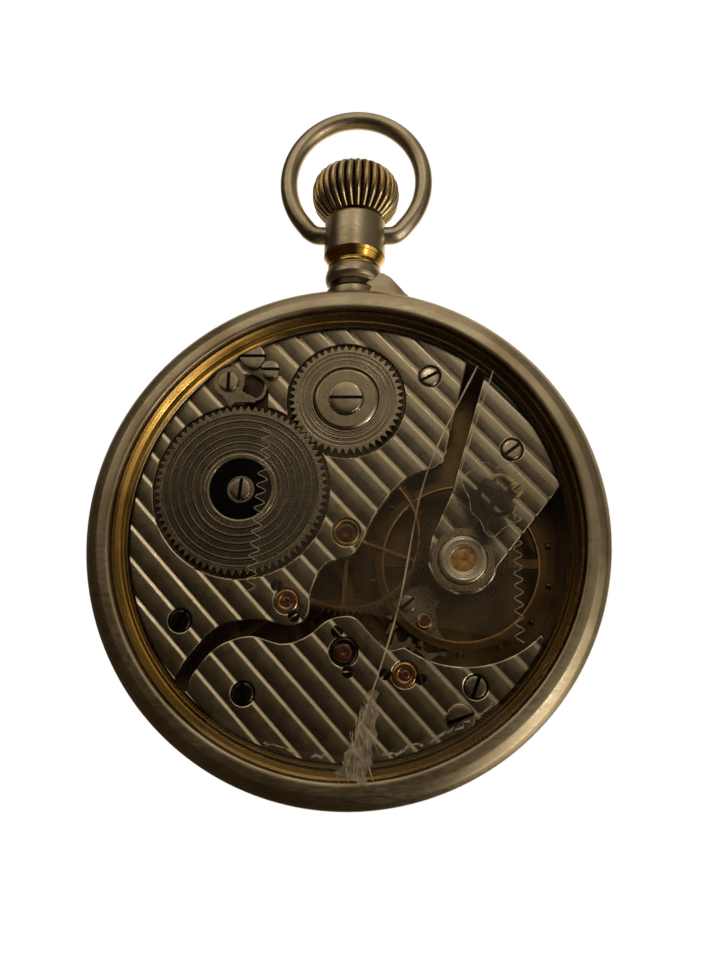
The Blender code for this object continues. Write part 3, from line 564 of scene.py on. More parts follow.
def piece(name, mesh, body, looks, replaces=(), base=BACK, sharp=35):
    """A finished visible piece that rides on a body and takes the place of CAD nodes."""
    mesh.transform(base)
    for look in looks:
        mesh.materials.append(look.material)
    mesh.update()
    mesh.set_sharp_from_angle(angle=math.radians(sharp))
    level = base.to_3x3() @ Vector((0, 0, 1))
    for polygon in mesh.polygons:
        polygon.use_smooth = abs(polygon.normal.dot(level)) < 0.9999
    item = placed(name, mesh)
    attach(item, body)
    if replaces:
        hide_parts(*([replaces] if isinstance(replaces, str) else replaces))
    return item


def repaint(look, *nodes):
    """A carried-over CAD node keeps its shape and gets a better material."""
    for name in nodes:
        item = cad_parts[name]
        item.data.materials.clear()
        item.data.materials.append(look.material)


# ---------------------------------------------------------------- case

def eased(t):
    t = min(max(t, 0.0), 1.0)
    return t * t * (3 - 2 * t)


def shoulder(x):
    """How far the band rises towards the pendant at a place across the watch; its right side flares."""
    rise = 0.8 * eased((9.0 - abs(x)) / 5.8)
    if x > 0:
        return rise + 1.75 * eased((8.2 - x) / 5.0) + 0.8 * eased((5.6 - x) / 2.4)
    return rise + 2.55 * eased(1 + x)


def case_pieces():
    band = lathe(rounded([
        (21.2, 3.85), (23.9, 3.85), (23.9, 2.7), (25.1, 2.55), (25.5, 1.2), (25.6, 0), (25.5, -1.2),
        (25.1, -2.55), (23.9, -2.7), (23.9, -4.0), (21.7, -4.0), (21.7, -1.5), (21.2, -1.5)], 0.35), 200)
    for vertex in band.vertices:
        x, y, z = vertex.co / MM
        if y > 0 and math.hypot(x, y) > 24.2:
            vertex.co.y += shoulder(x) * min(max((2.9 - abs(z)) / 1.2, 0.2), 1.0) * MM
    piece("case_band_metal", band, "case", [CASE], "case_band")

    bezel = lathe(rounded([
        (22.4, 5.95), (22.7, 6.03), (23.5, 5.97), (24.3, 5.56), (24.85, 4.9),
        (25.0, 4.4), (25.1, 2.8), (24.0, 2.8), (24.0, 3.95), (22.4, 3.95)], 0.12), 200)
    piece("back_bezel_metal", bezel, "back_cover", [BEZEL], "back_bezel")
    ring = lathe(rounded([
        (21.1, 4.43), (21.3, 4.72), (21.5, 4.76), (21.6, 4.66), (21.75, 4.72), (22.1, 5.0), (22.3, 5.26),
        (22.3, 4.40), (21.1, 4.40)], 0.05), 200)
    paint(ring, lambda face: int(face.normal.z > 0 and math.hypot(*face.center[:2]) > 22.08 * MM))
    piece("back_ring_gilt", ring, "back_cover", [GILT, BRASS], "back_ring")
    pane = lathe(rounded([(0, 6.5), (19.5, 6.5), (21.6, 6.25), (22.3, 5.85), (22.3, 5.3), (0, 5.3)], 0.4),
                 160)
    piece("back_crystal_glass", pane, "back_cover", [GLASS], "back_crystal")

    bezel = lathe(rounded([
        (21.2, -4.2), (24.0, -4.2), (24.0, -2.8), (25.1, -2.8), (25.0, -4.4), (24.4, -5.6), (23.3, -6.2),
        (22.4, -6.15), (22.4, -5.45), (21.2, -4.75)], 0.3), 200)
    piece("front_bezel_metal", bezel, "front_cover", [BEZEL], "front_bezel")
    pane = lathe(rounded([(0, -5.6), (22.3, -5.6), (22.3, -6.1), (21.6, -6.45), (19.5, -6.7),
                          (0, -6.7)], 0.3), 160)
    piece("front_crystal_glass", pane, "front_cover", [GLASS], "front_crystal")


def pendant_pieces():
    tube = lathe(rounded([
        (1.3, 35.5), (2.9, 35.55), (3.26, 35.4), (3.35, 35.1), (3.35, 31.1), (2.72, 30.15), (2.72, 30.0),
        (2.84, 29.92), (2.88, 29.72), (2.78, 29.5), (2.98, 29.2), (3.1, 28.75), (3.12, 28.3), (3.0, 27.95),
        (2.65, 27.6), (2.65, 27.0), (3.1, 26.6), (3.1, 25.75), (1.9, 25.75), (1.9, 22.2), (1.3, 22.2)],
        0.07), 96)
    # The neck under the bead takes the painted shade; the groove band takes gilt.
    for polygon in tube.polygons:
        height = polygon.center.z / MM
        polygon.material_index = 1 if 29.6 < height < 31.2 else 2 if 26.4 < height < 27.7 else 0
    piece("pendant_metal", tube, "case", [CASE, GILT, PAINTED_SHADE], "pendant", STEM)

    wide, high, pivot, top, wire = 7.6, 8.06, 33.9, 40.6, 0.96
    side = [(2.45, 0.0), (3.5, 0.0), (4.4, 0.12), (5.2, 0.68)]
    loop = [(wide * math.sin(math.radians(a)), top - pivot + high * math.cos(math.radians(a)))
            for a in range(130, -131, -4)]
    path = smooth(side, 5)[:-1] + loop + [(-x, z) for x, z in reversed(smooth(side, 5)[:-1])]
    verts, faces, around = [], [], 24
    for i, (x, z) in enumerate(path):
        ahead, behind = path[min(i + 1, len(path) - 1)], path[max(i - 1, 0)]
        tangent = Vector((ahead[0] - behind[0], 0, ahead[1] - behind[1])).normalized()
        out = tangent.cross(Vector((0, 1, 0)))
        for k in range(around):
            a = math.tau * k / around
            spot = Vector((x, 0, z)) + (out * math.cos(a) + Vector((0, 1, 0)) * math.sin(a)) * wire
            verts.append(tuple(spot * MM))
    for i in range(len(path) - 1):
        for k in range(around):
            n = (k + 1) % around
            faces.append((i * around + k, i * around + n, (i + 1) * around + n, (i + 1) * around + k))
    last = (len(path) - 1) * around
    faces += [tuple(range(around)), tuple(range(last, last + around))]
    hung = STEM @ Matrix.Translation((0, 0, pivot * MM))
    piece("bow_wire", sealed(built(verts, faces)), "bow", [CASE], "bow", hung, 60)


def crown_piece():
    """A fluted crown: each rib swells and narrows with the crown's own curve, coloured near-black in the deep
    valleys between the ribs.
    """
    ribs, per_rib = 30, 12
    outline = smooth([(0.0, 42.05), (1.6, 41.95), (3.0, 41.6), (4.4, 40.5), (4.85, 39.1), (4.6, 37.5),
                      (3.9, 36.5), (3.2, 35.85)], 6)
    verts, faces, in_valley = [], [], []
    count = ribs * per_rib
    rows = outline + [(1.06, 35.85), (1.06, 40.0), (0.0, 40.0)]
    for j, (r, z) in enumerate(rows):
        cut = 0.15 * eased((r - 2.2) / 1.6) if j < len(outline) else 0.0
        for i in range(count):
            wave = abs(math.cos(math.pi * i / per_rib)) ** 0.6
            reach = max(r * (1 - cut * (1 - wave)), 0.0)
            a = math.tau * i / count
            verts.append((reach * math.cos(a) * MM, reach * math.sin(a) * MM, z * MM))
    for j in range(len(rows) - 1):
        for i in range(count):
            n = (i + 1) % count
            faces.append((j * count + i, j * count + n, (j + 1) * count + n, (j + 1) * count + i))
            # The deep valleys between the ribs are coloured near-black.
            deep = abs(math.cos(math.pi * (i + 0.5) / per_rib)) < 0.42
            in_valley.append(deep and j < len(outline) - 1 and rows[j][0] > 2.7)
    mesh = built(verts, faces)
    mesh.polygons.foreach_set("material_index", in_valley)
    sealed(mesh)
    piece("crown_fluted", mesh, "crown", [CROWN, VALLEY_DARK], "crown", STEM, 60)


# ---------------------------------------------------------------- screws and jewels

def slotted(name, at, head_r, top, low, shank_r, tip, angle, look, body="case", replaces=None, width=0.34):
    """A slotted screw with a chamfered, slightly crowned head."""
    edge = 0.22 * (top - low) + 0.02
    head = [(0, top), (0.6 * head_r, top - 0.01), (head_r - edge, top - 0.02), (head_r, top - edge),
            (head_r, low), (shank_r, low), (shank_r, tip), (0, tip)]
    mesh = lathe(rounded(head, 0.05, 2), 40, at)
    bpy.ops.mesh.primitive_cube_add(size=1)
    block = bpy.context.object
    cutter = block.data
    bpy.data.objects.remove(block)
    cutter.transform(Matrix.Diagonal((4 * head_r * MM, width * MM, MM, 1)))
    cutter.transform(Matrix.Translation((0, 0, (top - 0.55 * (top - low) + 0.5) * MM)))
    moved(cutter, *at, angle)
    mesh = carved(mesh, cutter)
    mesh.materials.clear()
    # The slot's walls and floor take the painted shade.
    for polygon in mesh.polygons:
        cut = low < polygon.center.z / MM < top - 0.3 * (top - low) and math.dist(
            polygon.center[:2], (at[0] * MM, at[1] * MM)) < 0.97 * head_r * MM
        polygon.material_index = int(cut)
    return piece(name + "_head", mesh, body, [look, BLACK_PAINTED_SHADE], name if replaces is None
                 else replaces)


def jewel(name, at, radius, top, low, setting, stone, stone_r, replaces=()):
    """A metal setting with a rounded lip, an oil cup and a domed stone."""
    lip = top - 0.1
    ring = lathe(rounded([
        (stone_r, lip - 0.12), (stone_r + 0.08, top - 0.02), (radius - 0.14, top), (radius, top - 0.13),
        (radius, low), (stone_r, low)], 0.06, 3), 48, at)
    dome = lathe([(0, lip - 0.22), (0.12, lip - 0.20), (0.16, lip - 0.1), (0.5 * stone_r, lip - 0.02),
                  (0.85 * stone_r, lip - 0.06), (stone_r, lip - 0.14), (stone_r, low + 0.1),
                  (0, low + 0.1)], 40, at)
    return piece(name + "_set", together(ring, dome), "case", [setting, stone], replaces)


def jewels():
    jewel("centre_jewel", CENTRE, 1.3, 3.95, 2.3, BRASS, RUBY, 0.95, "centre_jewel")
    jewel("third_jewel", THIRD, 1.15, 3.95, 2.3, COPPER, RUBY, 0.55, "third_jewel")
    jewel("fourth_jewel", FOURTH, 1.3, 3.95, 2.3, STEEL_PAINTED_SHADE, RUBY, 0.8, "fourth_jewel")
    jewel("escape_jewel", ESCAPE, 1.15, 3.95, 2.3, COPPER, RUBY, 0.55, "escape_jewel")
    cap = jewel("balance_jewel", BALANCE, 2.3, 4.25, 2.45, BALANCE_CAP, AMBER, 1.12, "balance_jewel")
    for name, at, radius, setting in (("pallet_jewel", PALLET, 0.85, COPPER),
                                      ("banking_pin", (7.37, -9.95), 0.42, BRASS)):
        jewel(name, at, radius, 0.62, 0.45, setting, RUBY, 0.5 * radius)
    small = [("third", (-4.75, -8.0)), ("third", (-6.5, -5.15)), ("fourth", (-0.66, -9.35)),
             ("fourth", (0.42, -12.98)), ("escape", (3.85, -13.1)), ("escape", (7.15, -13.5)),
             ("balance", (12.9, -4.7)), ("balance", (13.3, -1.4))]
    # Setting screws away from the balance take the painted-shade steel.
    for i, (name, at) in enumerate(small):
        high = 4.02 if name == "balance" else 3.97
        radius = 0.42 if name == "balance" else 0.6
        screw = slotted(f"{name}_setting_screw_{i + 1}", at, radius, high, 3.82, 0.2, 3.3, 35 + 50 * i,
                        STEEL if name == "balance" else STEEL_PAINTED_SHADE, replaces=(), width=0.14)
        screw.name = f"{name}_setting_screw_{i + 1}"


def plain_screws():
    # In both screw lists below, the screws towards the lower left take the painted-shade steel.
    for i, (at, angle) in enumerate(zip(BARREL_BRIDGE_SCREWS, (28, 60))):
        slotted(f"barrel_bridge_screw_{i + 1}", at, 1.03, 4.0, 3.45, 0.6, -2.7, angle, (STEEL, STEEL_PAINTED_SHADE)[i])
    for i, (at, angle) in enumerate(zip(TRAIN_BRIDGE_SCREWS, (95, 70))):
        slotted(f"train_bridge_screw_{i + 1}", at, 1.03, 4.0, 3.45, 0.6, -2.7, angle, (STEEL_PAINTED_SHADE, STEEL)[i])
    for i, (at, angle) in enumerate(zip(CASE_SCREWS, (0, 20))):
        slotted(f"case_screw_{i + 1}", at, 1.35, 4.35, 3.95, 0.36, 2.5, angle, STEEL)
    slotted("balance_cock_screw", COCK_SCREW, 1.03, 4.0, 3.45, 0.6, -2.7, 38, STEEL)
    slotted("pallet_bridge_screw", PALLET_SCREW, 0.85, 0.72, 0.5, 0.42, -2.7, 40, STEEL)
    slotted("click_screw", CLICK, 1.02, 4.6, 4.35, 0.5, 2.6, 90, STEEL)
    slotted("click_spring_screw", CLICK_SPRING, 0.95, 4.5, 4.25, 0.5, 2.6, 0, STEEL)
    slotted("ratchet_screw", BARREL, 1.05, 4.4, 4.1, 0.42, 3.0, 85, STEEL, "ratchet")
    slotted("crown_wheel_screw", CROWN_WHEEL, 1.66, 4.85, 4.55, 0.8, 2.5, 0, MIRROR)
    slotted("regulator_screw", REGULATOR_SCREW, 0.6, 4.65, 4.42, 0.3, 2.6, 40, BRASS, width=0.14)


# ---------------------------------------------------------------- bridges

def rim(first, last, count):
    return arc(CENTRE, BRIDGE_R, first, last, count)


def post(at, radius, low, high, steps=64):
    return lathe([(0, high), (radius, high), (radius, low), (0, low)], steps, at)


def bridge(name, outline, low, screws, holes, recesses=(), pockets=()):
    """A striped plate with polished bevels, screw wells, jewel holes and wheel recesses."""
    plate = sheet([outline], low, BRIDGE_TOP)
    for at in screws:
        plate = carved(plate, post(at, 1.7, -1.55, low + 0.3, 32), operation="UNION")
    for at, radius, floor in recesses:
        plate = carved(plate, post(at, radius, floor, 6, 128))
    for pocket in pockets:
        plate = carved(plate, sheet([pocket], POCKET_FLOOR, 6))
    for at in screws:
        plate = carved(plate, post(at, 1.13, 3.4, 6), post(at, 0.7, -4, 6, 24))
    for at, radius in holes:
        plate = carved(plate, post(at, radius, 1.5, 6, 48))
    plate = bevelled(sealed(plate), 0.12, 2, 50, 1, False)
    # Up-facing faces below the bridge top, on the recess and pocket floors, take the painted shade.
    for polygon in plate.polygons:
        if polygon.normal.z > 0.9 and polygon.center.z < (BRIDGE_TOP - 0.2) * MM:
            polygon.material_index = 2
    return piece(name + "_plate", plate, "case", [NICKEL, EDGE, PAINTED_SHADE], name, sharp=28)


def bridges():
    edge = smooth([
        (9.28, 6.94), (5.49, 5.2), (2.81, 1.81), (0.86, -1.9), (-1.88, -3.08), (-3.14, -5.37), (-3.53, -7.99),
        (-5.19, -8.94), (-8.23, -8.39), (-11.97, -9.14), (-14.87, -12.39)], 8)
    bridge("barrel_bridge", rim(222, 56, 100) + edge, BRIDGE_LOW, BARREL_BRIDGE_SCREWS,
           [(CENTRE, 1.36), (THIRD, 1.21), (CLICK, 0.56), (CLICK_SPRING, 0.56), (CASE_SCREWS[0], 0.42),
            (BARREL, 1.42), (CROWN_WHEEL, 0.86)],
           [(BARREL, 8.7, RECESS_FLOOR), (CROWN_WHEEL, 5.95, RECESS_FLOOR)],
           [smooth([(-10.9, 14.2), (-10.8, 15.9), (-9.8, 15.9), (-8.8, 15.3), (-8.25, 14.3), (-8.2, 13.2),
                    (-8.3, 12.2), (-9.3, 12.2), (-10.4, 12.6), (-10.9, 14.0)], 4)])
    top = smooth([
        (-14.1, -13.6), (-12.53, -11.53), (-10.85, -10.41), (-8.62, -9.91), (-5.78, -10.56), (-3.6, -9.9),
        (-1.73, -8.43), (-0.19, -7.94), (1.16, -8.2), (3.0, -10.1), (4.4, -11.0)], 8)
    around = arc(BALANCE, 9.85, 236, 316, 40)
    bridge("train_bridge", top + around + rim(332, 226, 64), BRIDGE_LOW, TRAIN_BRIDGE_SCREWS,
           [(FOURTH, 1.36), (ESCAPE, 1.21), (CASE_SCREWS[1], 0.42)])
    head = arc(BALANCE, 3.3, 160, 350, 40)
    cock = rim(13, 50, 24) + [(10.1, 3.9), (8.2, -0.4)] + head
    bridge("balance_cock", cock, 2.35, [COCK_SCREW], [(BALANCE, 2.36), (REGULATOR_SCREW, 0.36)])


# ---------------------------------------------------------------- winding work

def winding():
    ratchet, crown_wheel = mesh_pair(BARREL, CROWN_WHEEL, RATCHET_TEETH, CROWN_WHEEL_TEETH,
                                     tip=0.05, root=0.10)
    wheel = moved(sheet([ratchet, circle(CENTRE, 1.42, 48)], 3.7, 4.33), *BARREL)
    wheel = sealed(carved(wheel, lathe([(1.0, 5), (3.05, 5), (3.05, 4.05), (1.0, 4.05)], 96, BARREL)))
    wheel = bevelled(wheel, 0.05, 2, 50)
    # The ratchet's recessed centre takes the painted shade.
    for polygon in wheel.polygons:
        reach = distance(BARREL, (polygon.center.x / MM, polygon.center.y / MM))
        polygon.material_index = 2 if reach < 3.04 and polygon.center.z < 4.2 * MM else 0
    raised = lathe(rounded([(3.1, 4.30), (3.16, 4.35), (3.5, 4.35), (3.56, 4.30), (3.56, 4.2), (3.1, 4.2)],
                           0.03), 96, BARREL)
    disc = lathe(rounded([(3.6, 4.25), (3.6, 4.338), (7.66, 4.338), (7.74, 4.25)], 0.02), 128, BARREL)
    paint(raised, lambda face: 3)
    paint(disc, lambda face: 1)
    piece("ratchet_wheel_cut", merged((wheel, raised, disc)), "ratchet",
          [TEETH, RATCHET, BLACK_PAINTED_SHADE, EDGE], "ratchet_wheel")

    wheel = moved(sheet([crown_wheel, circle(CENTRE, 3.3, 64)], 3.7, 4.33), *CROWN_WHEEL)
    wheel = bevelled(wheel, 0.05, 2, 50)
    disc = lathe(rounded([(3.32, 4.25), (3.32, 4.345), (4.95, 4.345), (5.05, 4.25)], 0.02), 128, CROWN_WHEEL)
    piece("crown_wheel_cut", together(wheel, disc), "crown_wheel", [TEETH, CROWN_STEEL],
          "crown_wheel")
    cap = lathe(rounded([(0.86, 4.45), (1.72, 4.45), (1.8, 4.5), (2.92, 4.5), (3.18, 4.36), (3.22, 4.2),
                         (3.22, 3.7), (0.86, 3.7)], 0.03), 96, CROWN_WHEEL)
    paint(cap, lambda face: int(0.15 < face.normal.z < 0.97))
    piece("crown_wheel_cap_polished", cap, "case", [CAP, EDGE], "crown_wheel_cap")

    module = 2 * distance(BARREL, CROWN_WHEEL) / (RATCHET_TEETH + CROWN_WHEEL_TEETH)
    step = math.tau / RATCHET_TEETH
    towards = bearing(BARREL, CROWN_WHEEL)
    gap = round((math.radians(99.1) - towards) / step - 0.5) + 0.5
    tip = polar(module * 36.9 - 0.13, towards + gap * step, BARREL)
    beak = bearing(CLICK, tip)
    body = [polar(1.6, math.radians(a), CLICK) for a in range(-34, 250, 6)]
    tail = arc(BARREL, 8.85, 97.5, 83.5, 8) + [(-9.32, 13.25), (-9.75, 13.6), (-10.4, 13.85)]
    outline = body + [polar(distance(CLICK, tip), beak, CLICK)] + tail
    click = bevelled(sheet([outline, circle(CLICK, 0.56, 32)], 3.95, 4.3), 0.05, 2, 50)
    piece("click_pawl", click, "click", [TEETH], "click")
    arm = smooth([(-8.4, 15.9), (-8.45, 14.9), (-8.7, 13.9), (-9.4, 13.4), (-10.1, 13.7)], 8)
    spring = carved(sheet([strip(arm, 0.28)], 3.5, 3.88), post(CLICK_SPRING, 1.0, 3.92, 4.2, 40),
                    post((-8.42, 15.7), 0.2, 3.52, 4.1, 16), operation="UNION")
    spring = bevelled(sealed(carved(spring, post(CLICK_SPRING, 0.56, 3, 5, 32))), 0.03, 1, 50)
    piece("click_spring_wire", spring, "case", [TEETH], "click_spring")


# ---------------------------------------------------------------- train, balance and regulator

def wheels():
    centre, _ = mesh_pair(CENTRE, THIRD, 80, 10)
    spokes = bevelled(sheet([circle(CENTRE, 7.16, 96), *sector_windows(5, 1.7, 6.95, 0.3, math.radians(-92)),
                             circle(CENTRE, 0.8, 24)], 1.56, 1.8), 0.03, 1, 60)
    rim_plate = bevelled(sheet([centre, circle(CENTRE, 7.12, 96)], 1.55, 1.77), 0.03, 1, 60)
    staff = lathe([(0, 3.1), (0.45, 3.1), (0.45, 2.2), (0.8, 2.2), (0.8, -1.5), (0.75, -3.1), (0.6, -3.2),
                   (0.6, -5.2), (0, -5.2)], 32)
    leaves, _ = mesh_pair(CENTRE, BARREL, 12, 78)
    # The bright copper spokes and the painted-shade toothed rim are lit and shaded copies of the wheel's one
    # metal.
    wheel = together(spokes, rim_plate, staff, sheet([leaves], -1.35, -0.55))
    piece("centre_wheel_gilt", wheel, "centre_wheel",
          [COPPER, BRASS_PAINTED_SHADE, STEEL, STEEL], "centre_wheel")

    loops = [circle(CENTRE, 8.4, 128)]
    loops += [arc(CENTRE, 7.5, first, first + 173, 60) for first in (3.5, 183.5)]
    rim_plate = bevelled(moved(sheet(loops, 0.8, 1.4), *BALANCE), 0.05, 2, 50)
    lip = lathe(rounded([(7.52, 1.38), (7.55, 1.44), (7.7, 1.44), (7.73, 1.38), (7.7, 1.3), (7.55, 1.3)],
                        0.02), 128, BALANCE)
    staff = lathe([(0, 3.2), (0.13, 3.2), (0.13, 2.4), (0.3, 2.35), (0.7, 2.2), (0.7, 1.5), (1.2, 1.5),
                   (1.2, 0.85), (0.4, 0.8), (0.4, 0.45), (1.3, 0.42), (1.3, 0.25), (0.25, 0.25), (0.25, -1.5),
                   (0.18, -1.5), (0.18, -2.6), (0, -2.6)], 32, BALANCE)
    weights = []
    for k in range(14):
        angle = math.radians(12 + 360 / 14 * k)
        lean = Matrix.Translation((0, 0, 1.1 * MM)) @ Matrix.Rotation(angle, 4, "Z") @ Matrix.Rotation(
            math.radians(90), 4, "Y")
        head = lathe(rounded([(0, 8.98), (0.34, 8.98), (0.34, 8.5), (0.16, 8.5), (0.16, 8.2), (0, 8.2)],
                             0.05, 2), 20, BALANCE, lean)
        weights.append(head)
    # The balance rim and weights take painted shade; the thin copper lip along the rim's inner edge is a
    # painted highlight.
    piece("balance_wheel_fine", together(rim_plate, lip, staff, merged(weights)), "balance",
          [BRASS_PAINTED_SHADE, COPPER, STEEL, BRASS_PAINTED_SHADE], "balance_wheel")
    coil = moved(sheet([strip(spiral(1.15, 5.0, 9, 40), 0.09)], 1.95, 2.12), *BALANCE)
    piece("hairspring_coil", coil, "case", [SPRING], "hairspring")


def regulation():
    aim = math.radians(62)
    outline = [polar(3.0, aim + math.radians(a)) for a in range(14, 347, 6)]
    outline += [polar(radius, aim + turn)
                for radius, turn in ((4.2, -0.11), (7.2, -0.03), (7.2, 0.03), (4.2, 0.11))]
    lever = bevelled(moved(sheet([outline, circle(CENTRE, 2.4, 64)], 3.95, 4.1), *BALANCE), 0.03, 1, 50)
    piece("regulator_lever", lever, "regulator", [TEETH], "regulator")
    ring = arc((14.6, 3.7), 1.9, 35, 300, 40)
    spring = carved(sheet([strip(ring, 0.45)], 4.16, 4.36), post(REGULATOR_SCREW, 0.75, 4.16, 4.36, 32),
                    operation="UNION")
    spring = bevelled(sealed(carved(spring, post(REGULATOR_SCREW, 0.36, 3, 5, 24))), 0.03, 1, 50)
    piece("regulator_spring_ring", spring, "case", [EDGE], "regulator_spring")


# ---------------------------------------------------------------- dial side

def hand(name, body, length, width, hub_in, hub_out, low, high, at, clock):
    """A blued spade hand."""
    aim = math.radians(90 + clock)
    points = [polar(hub_out, aim + math.radians(a)) for a in range(14, 347, 8)]
    right = [(0.18, -0.32), (0.55, -0.22), (0.62, -0.5), (0.70, -1.15), (0.78, -0.75), (0.84, -0.2),
             (1.0, -0.06)]
    left = [(along, -side) for along, side in reversed(right)]
    c, s = math.cos(aim), math.sin(aim)
    for along, side in right + left:
        u, v = along * length, side * width
        points.append((u * c - v * s, u * s + v * c))
    mesh = bevelled(moved(sheet([points, circle(CENTRE, hub_in, 32)], low, high), *at), 0.04, 1, 50)
    piece(name + "_blued", mesh, body, [BLUED], name)


def lettered(text, size):
    """A numeral as flat geometry, centred on its own middle."""
    curve = bpy.data.curves.new("numeral", "FONT")
    curve.body = text
    curve.size = size * MM
    curve.align_x = "CENTER"
    curve.align_y = "CENTER"
    curve.extrude = 0.01 * MM
    mesh = baked(placed("numeral", curve))
    mesh.materials.clear()
    return mesh


def dial_side():
    disc = lathe(rounded([(1.8, -3.85), (20.9, -3.85), (20.9, -4.2), (20.7, -4.35), (1.8, -4.35)], 0.12), 160)
    piece("dial_enamel", disc, "case", [ENAMEL], "dial")
    marks = []
    face = Matrix.Rotation(math.pi, 4, "Y")
    for hour in range(1, 13):
        if hour == 6:
            continue
        x, y = polar(15.4, math.radians(90 - 30 * hour))
        mesh = lettered(str(hour), 4.4)
        mesh.transform(face @ Matrix.Translation((x * MM, y * MM, 4.36 * MM)))
        marks.append(mesh)
    for minute in range(60):
        a = math.radians(6 * minute)
        long = minute % 5 == 0
        inner = 18.9 if long else 19.2
        mesh = sheet([[(inner, -0.1), (20.0, -0.1), (20.0, 0.1), (inner, 0.1)]], -4.37, -4.33)
        mesh.transform(Matrix.Rotation(a, 4, "Z"))
        marks.append(mesh)
        if long:
            mesh = sheet([[(3.6, -0.05), (4.5, -0.05), (4.5, 0.05), (3.6, 0.05)]], -4.37, -4.33)
            marks.append(moved(mesh, *FOURTH, 6 * minute))
    for at, radius in ((CENTRE, 20.0), (CENTRE, 19.1), (FOURTH, 4.5)):
        marks.append(lathe([(radius - 0.05, -4.33), (radius + 0.05, -4.33), (radius + 0.05, -4.365),
                            (radius - 0.05, -4.365)], 128, at))
    piece("dial_marks", merged(marks), "case", [INK])
    hand("hour_hand", "hour_wheel", 10.5, 1.0, 1.5, 2.2, -4.7, -4.5, CENTRE, 305)
    hand("minute_hand", "centre_wheel", 16.5, 0.9, 1.03, 1.8, -5.25, -5.05, CENTRE, 60)
    hand("seconds_hand", "fourth_wheel", 4.2, 0.5, 0.35, 0.75, -4.62, -4.47, FOURTH, 210)


# ---------------------------------------------------------------- damage to the back glass

def flake(name, outline, look, low=6.505, high=6.53):
    """A thin piece lying on the back glass."""
    return piece(name, sheet([outline], low, high), "back_cover", [look])


def torn(start, end, pitch, depth):
    """The saw-toothed end a dispenser leaves on tape, from one corner to the other."""
    length = distance(start, end)
    along = ((end[0] - start[0]) / length, (end[1] - start[1]) / length)
    path = []
    for i in range(int(length / pitch) * 2 + 1):
        reach, side = 0.5 * i * pitch, depth * (i % 2)
        path.append((start[0] + along[0] * reach - along[1] * side,
                     start[1] + along[1] * reach + along[0] * side))
    return smooth(path, 4)


def crack(name, points, width):
    """A crack in the glass, drawn as a bright line that swells and thins: a painted reflection off the break.
    """
    path = smooth(points, 8)
    widths = [width * (0.55 + 0.45 * math.sin(0.83 * i) ** 2) for i in range(len(path))]
    flake(name, strip(path, widths), CRACK)


def damage():
    """The photo's cracked back glass, with clear tape over it whose two ends are torn in teeth."""
    rng = random.Random(7)
    crack("glass_crack_long", [(12.5, 16), (7.5, 5), (4.8, -8), (0.6, -21)], 0.17)
    crack("glass_crack_cock", [(14, 15.5), (12, 9.5), (10, 3)], 0.12)
    crack("glass_crack_branch", [(9.5, 7.5), (8.5, 6), (7, 5.5)], 0.09)
    left, right = torn((-8.1, 9.6), (-9.1, -7.0), 1.12, 0.95), torn((16.2, -10.2), (16.3, 6.2), 1.12, 0.8)
    flake("tape_strip", left + right, FILM)
    # The torn edges are traced in a bright strip: a painted highlight where the edge catches light.
    for name, edge in (("left", left), ("right", right)):
        flake("tape_edge_" + name, strip(edge, 0.07), SCUFF_AND_HIGHLIGHT, 6.535, 6.55)
    lump = []
    for i in range(40):
        a = math.tau * i / 40
        bulge = 1 + 0.13 * math.sin(3 * a) + 0.08 * math.sin(7 * a + 1)
        lump.append((13.8 + 2.6 * bulge * math.cos(a), 3.2 + 3.3 * bulge * math.sin(a)))
    flake("tape_crumple", lump, FILM, 6.555, 6.58)
    # The crumple's rim is a painted highlight.
    flake("tape_crumple_edge", strip(lump, [0.03 + 0.08 * rng.random() for _ in lump]), SCUFF_AND_HIGHLIGHT, 6.585, 6.6)
    trail = smooth([(2.9, -14.5), (2.3, -18), (1.0, -22)], 8)
    spread = [0.5 + 2.4 * i / len(trail) + 0.4 * math.sin(1.7 * i) for i in range(len(trail))]
    flake("scuffed_patch", strip(trail, spread), SMEAR, 6.535, 6.55)
    slivers = []
    for i in range(34):
        along = rng.random()
        x = 2.4 - 1.6 * along + rng.uniform(-1, 1) * (0.35 + 1.1 * along)
        y, length, lean = -14.6 - 7.0 * along, rng.uniform(0.5, 2.2), rng.uniform(-0.25, 0.5)
        spine = [(x, y), (x + 0.5 * lean * length, y - 0.5 * length), (x + lean * length, y - length)]
        slivers.append(sheet([strip(spine, [0.02, rng.uniform(0.04, 0.2), 0.02])],
                             6.555 + 0.002 * i, 6.565 + 0.002 * i))
    piece("scuffed_slivers", merged(slivers), "back_cover", [SCUFF_AND_HIGHLIGHT])
    band = arc(CENTRE, 20.0, 236, 312, 30) + [polar(22.9 + rng.uniform(-0.25, 0.25), math.radians(a), CENTRE)
                                              for a in range(312, 235, -4)]
    flake("tape_bottom", band, FILM, 6.505, 6.52)
    for i, (first, last) in enumerate(((250, 259), (263, 268), (280, 290), (293, 304), (306, 311))):
        ridge = [polar(rng.uniform(20.0, 20.5), math.radians(a + rng.uniform(-0.8, 0.8)), CENTRE)
                 for a in range(first, last + 1)]
        flake(f"tape_crinkle_{i + 1}", strip(ridge, [rng.uniform(0.04, 0.26) for _ in ridge]), SCUFF_AND_HIGHLIGHT,
              6.53 + 0.02 * i, 6.545 + 0.02 * i)


case_pieces()
pendant_pieces()
crown_piece()
jewels()
plain_screws()
bridges()
winding()
wheels()
regulation()
dial_side()
damage()
# The deep pillar plate takes the painted shade.
repaint(PLATE_PAINTED_SHADE, "pillar_plate")
repaint(CAP, "pallet_bridge")
repaint(STEEL, "stem", "winding_pinion", "barrel_arbor", "escape_wheel", "pallet_fork", "cannon_pinion")
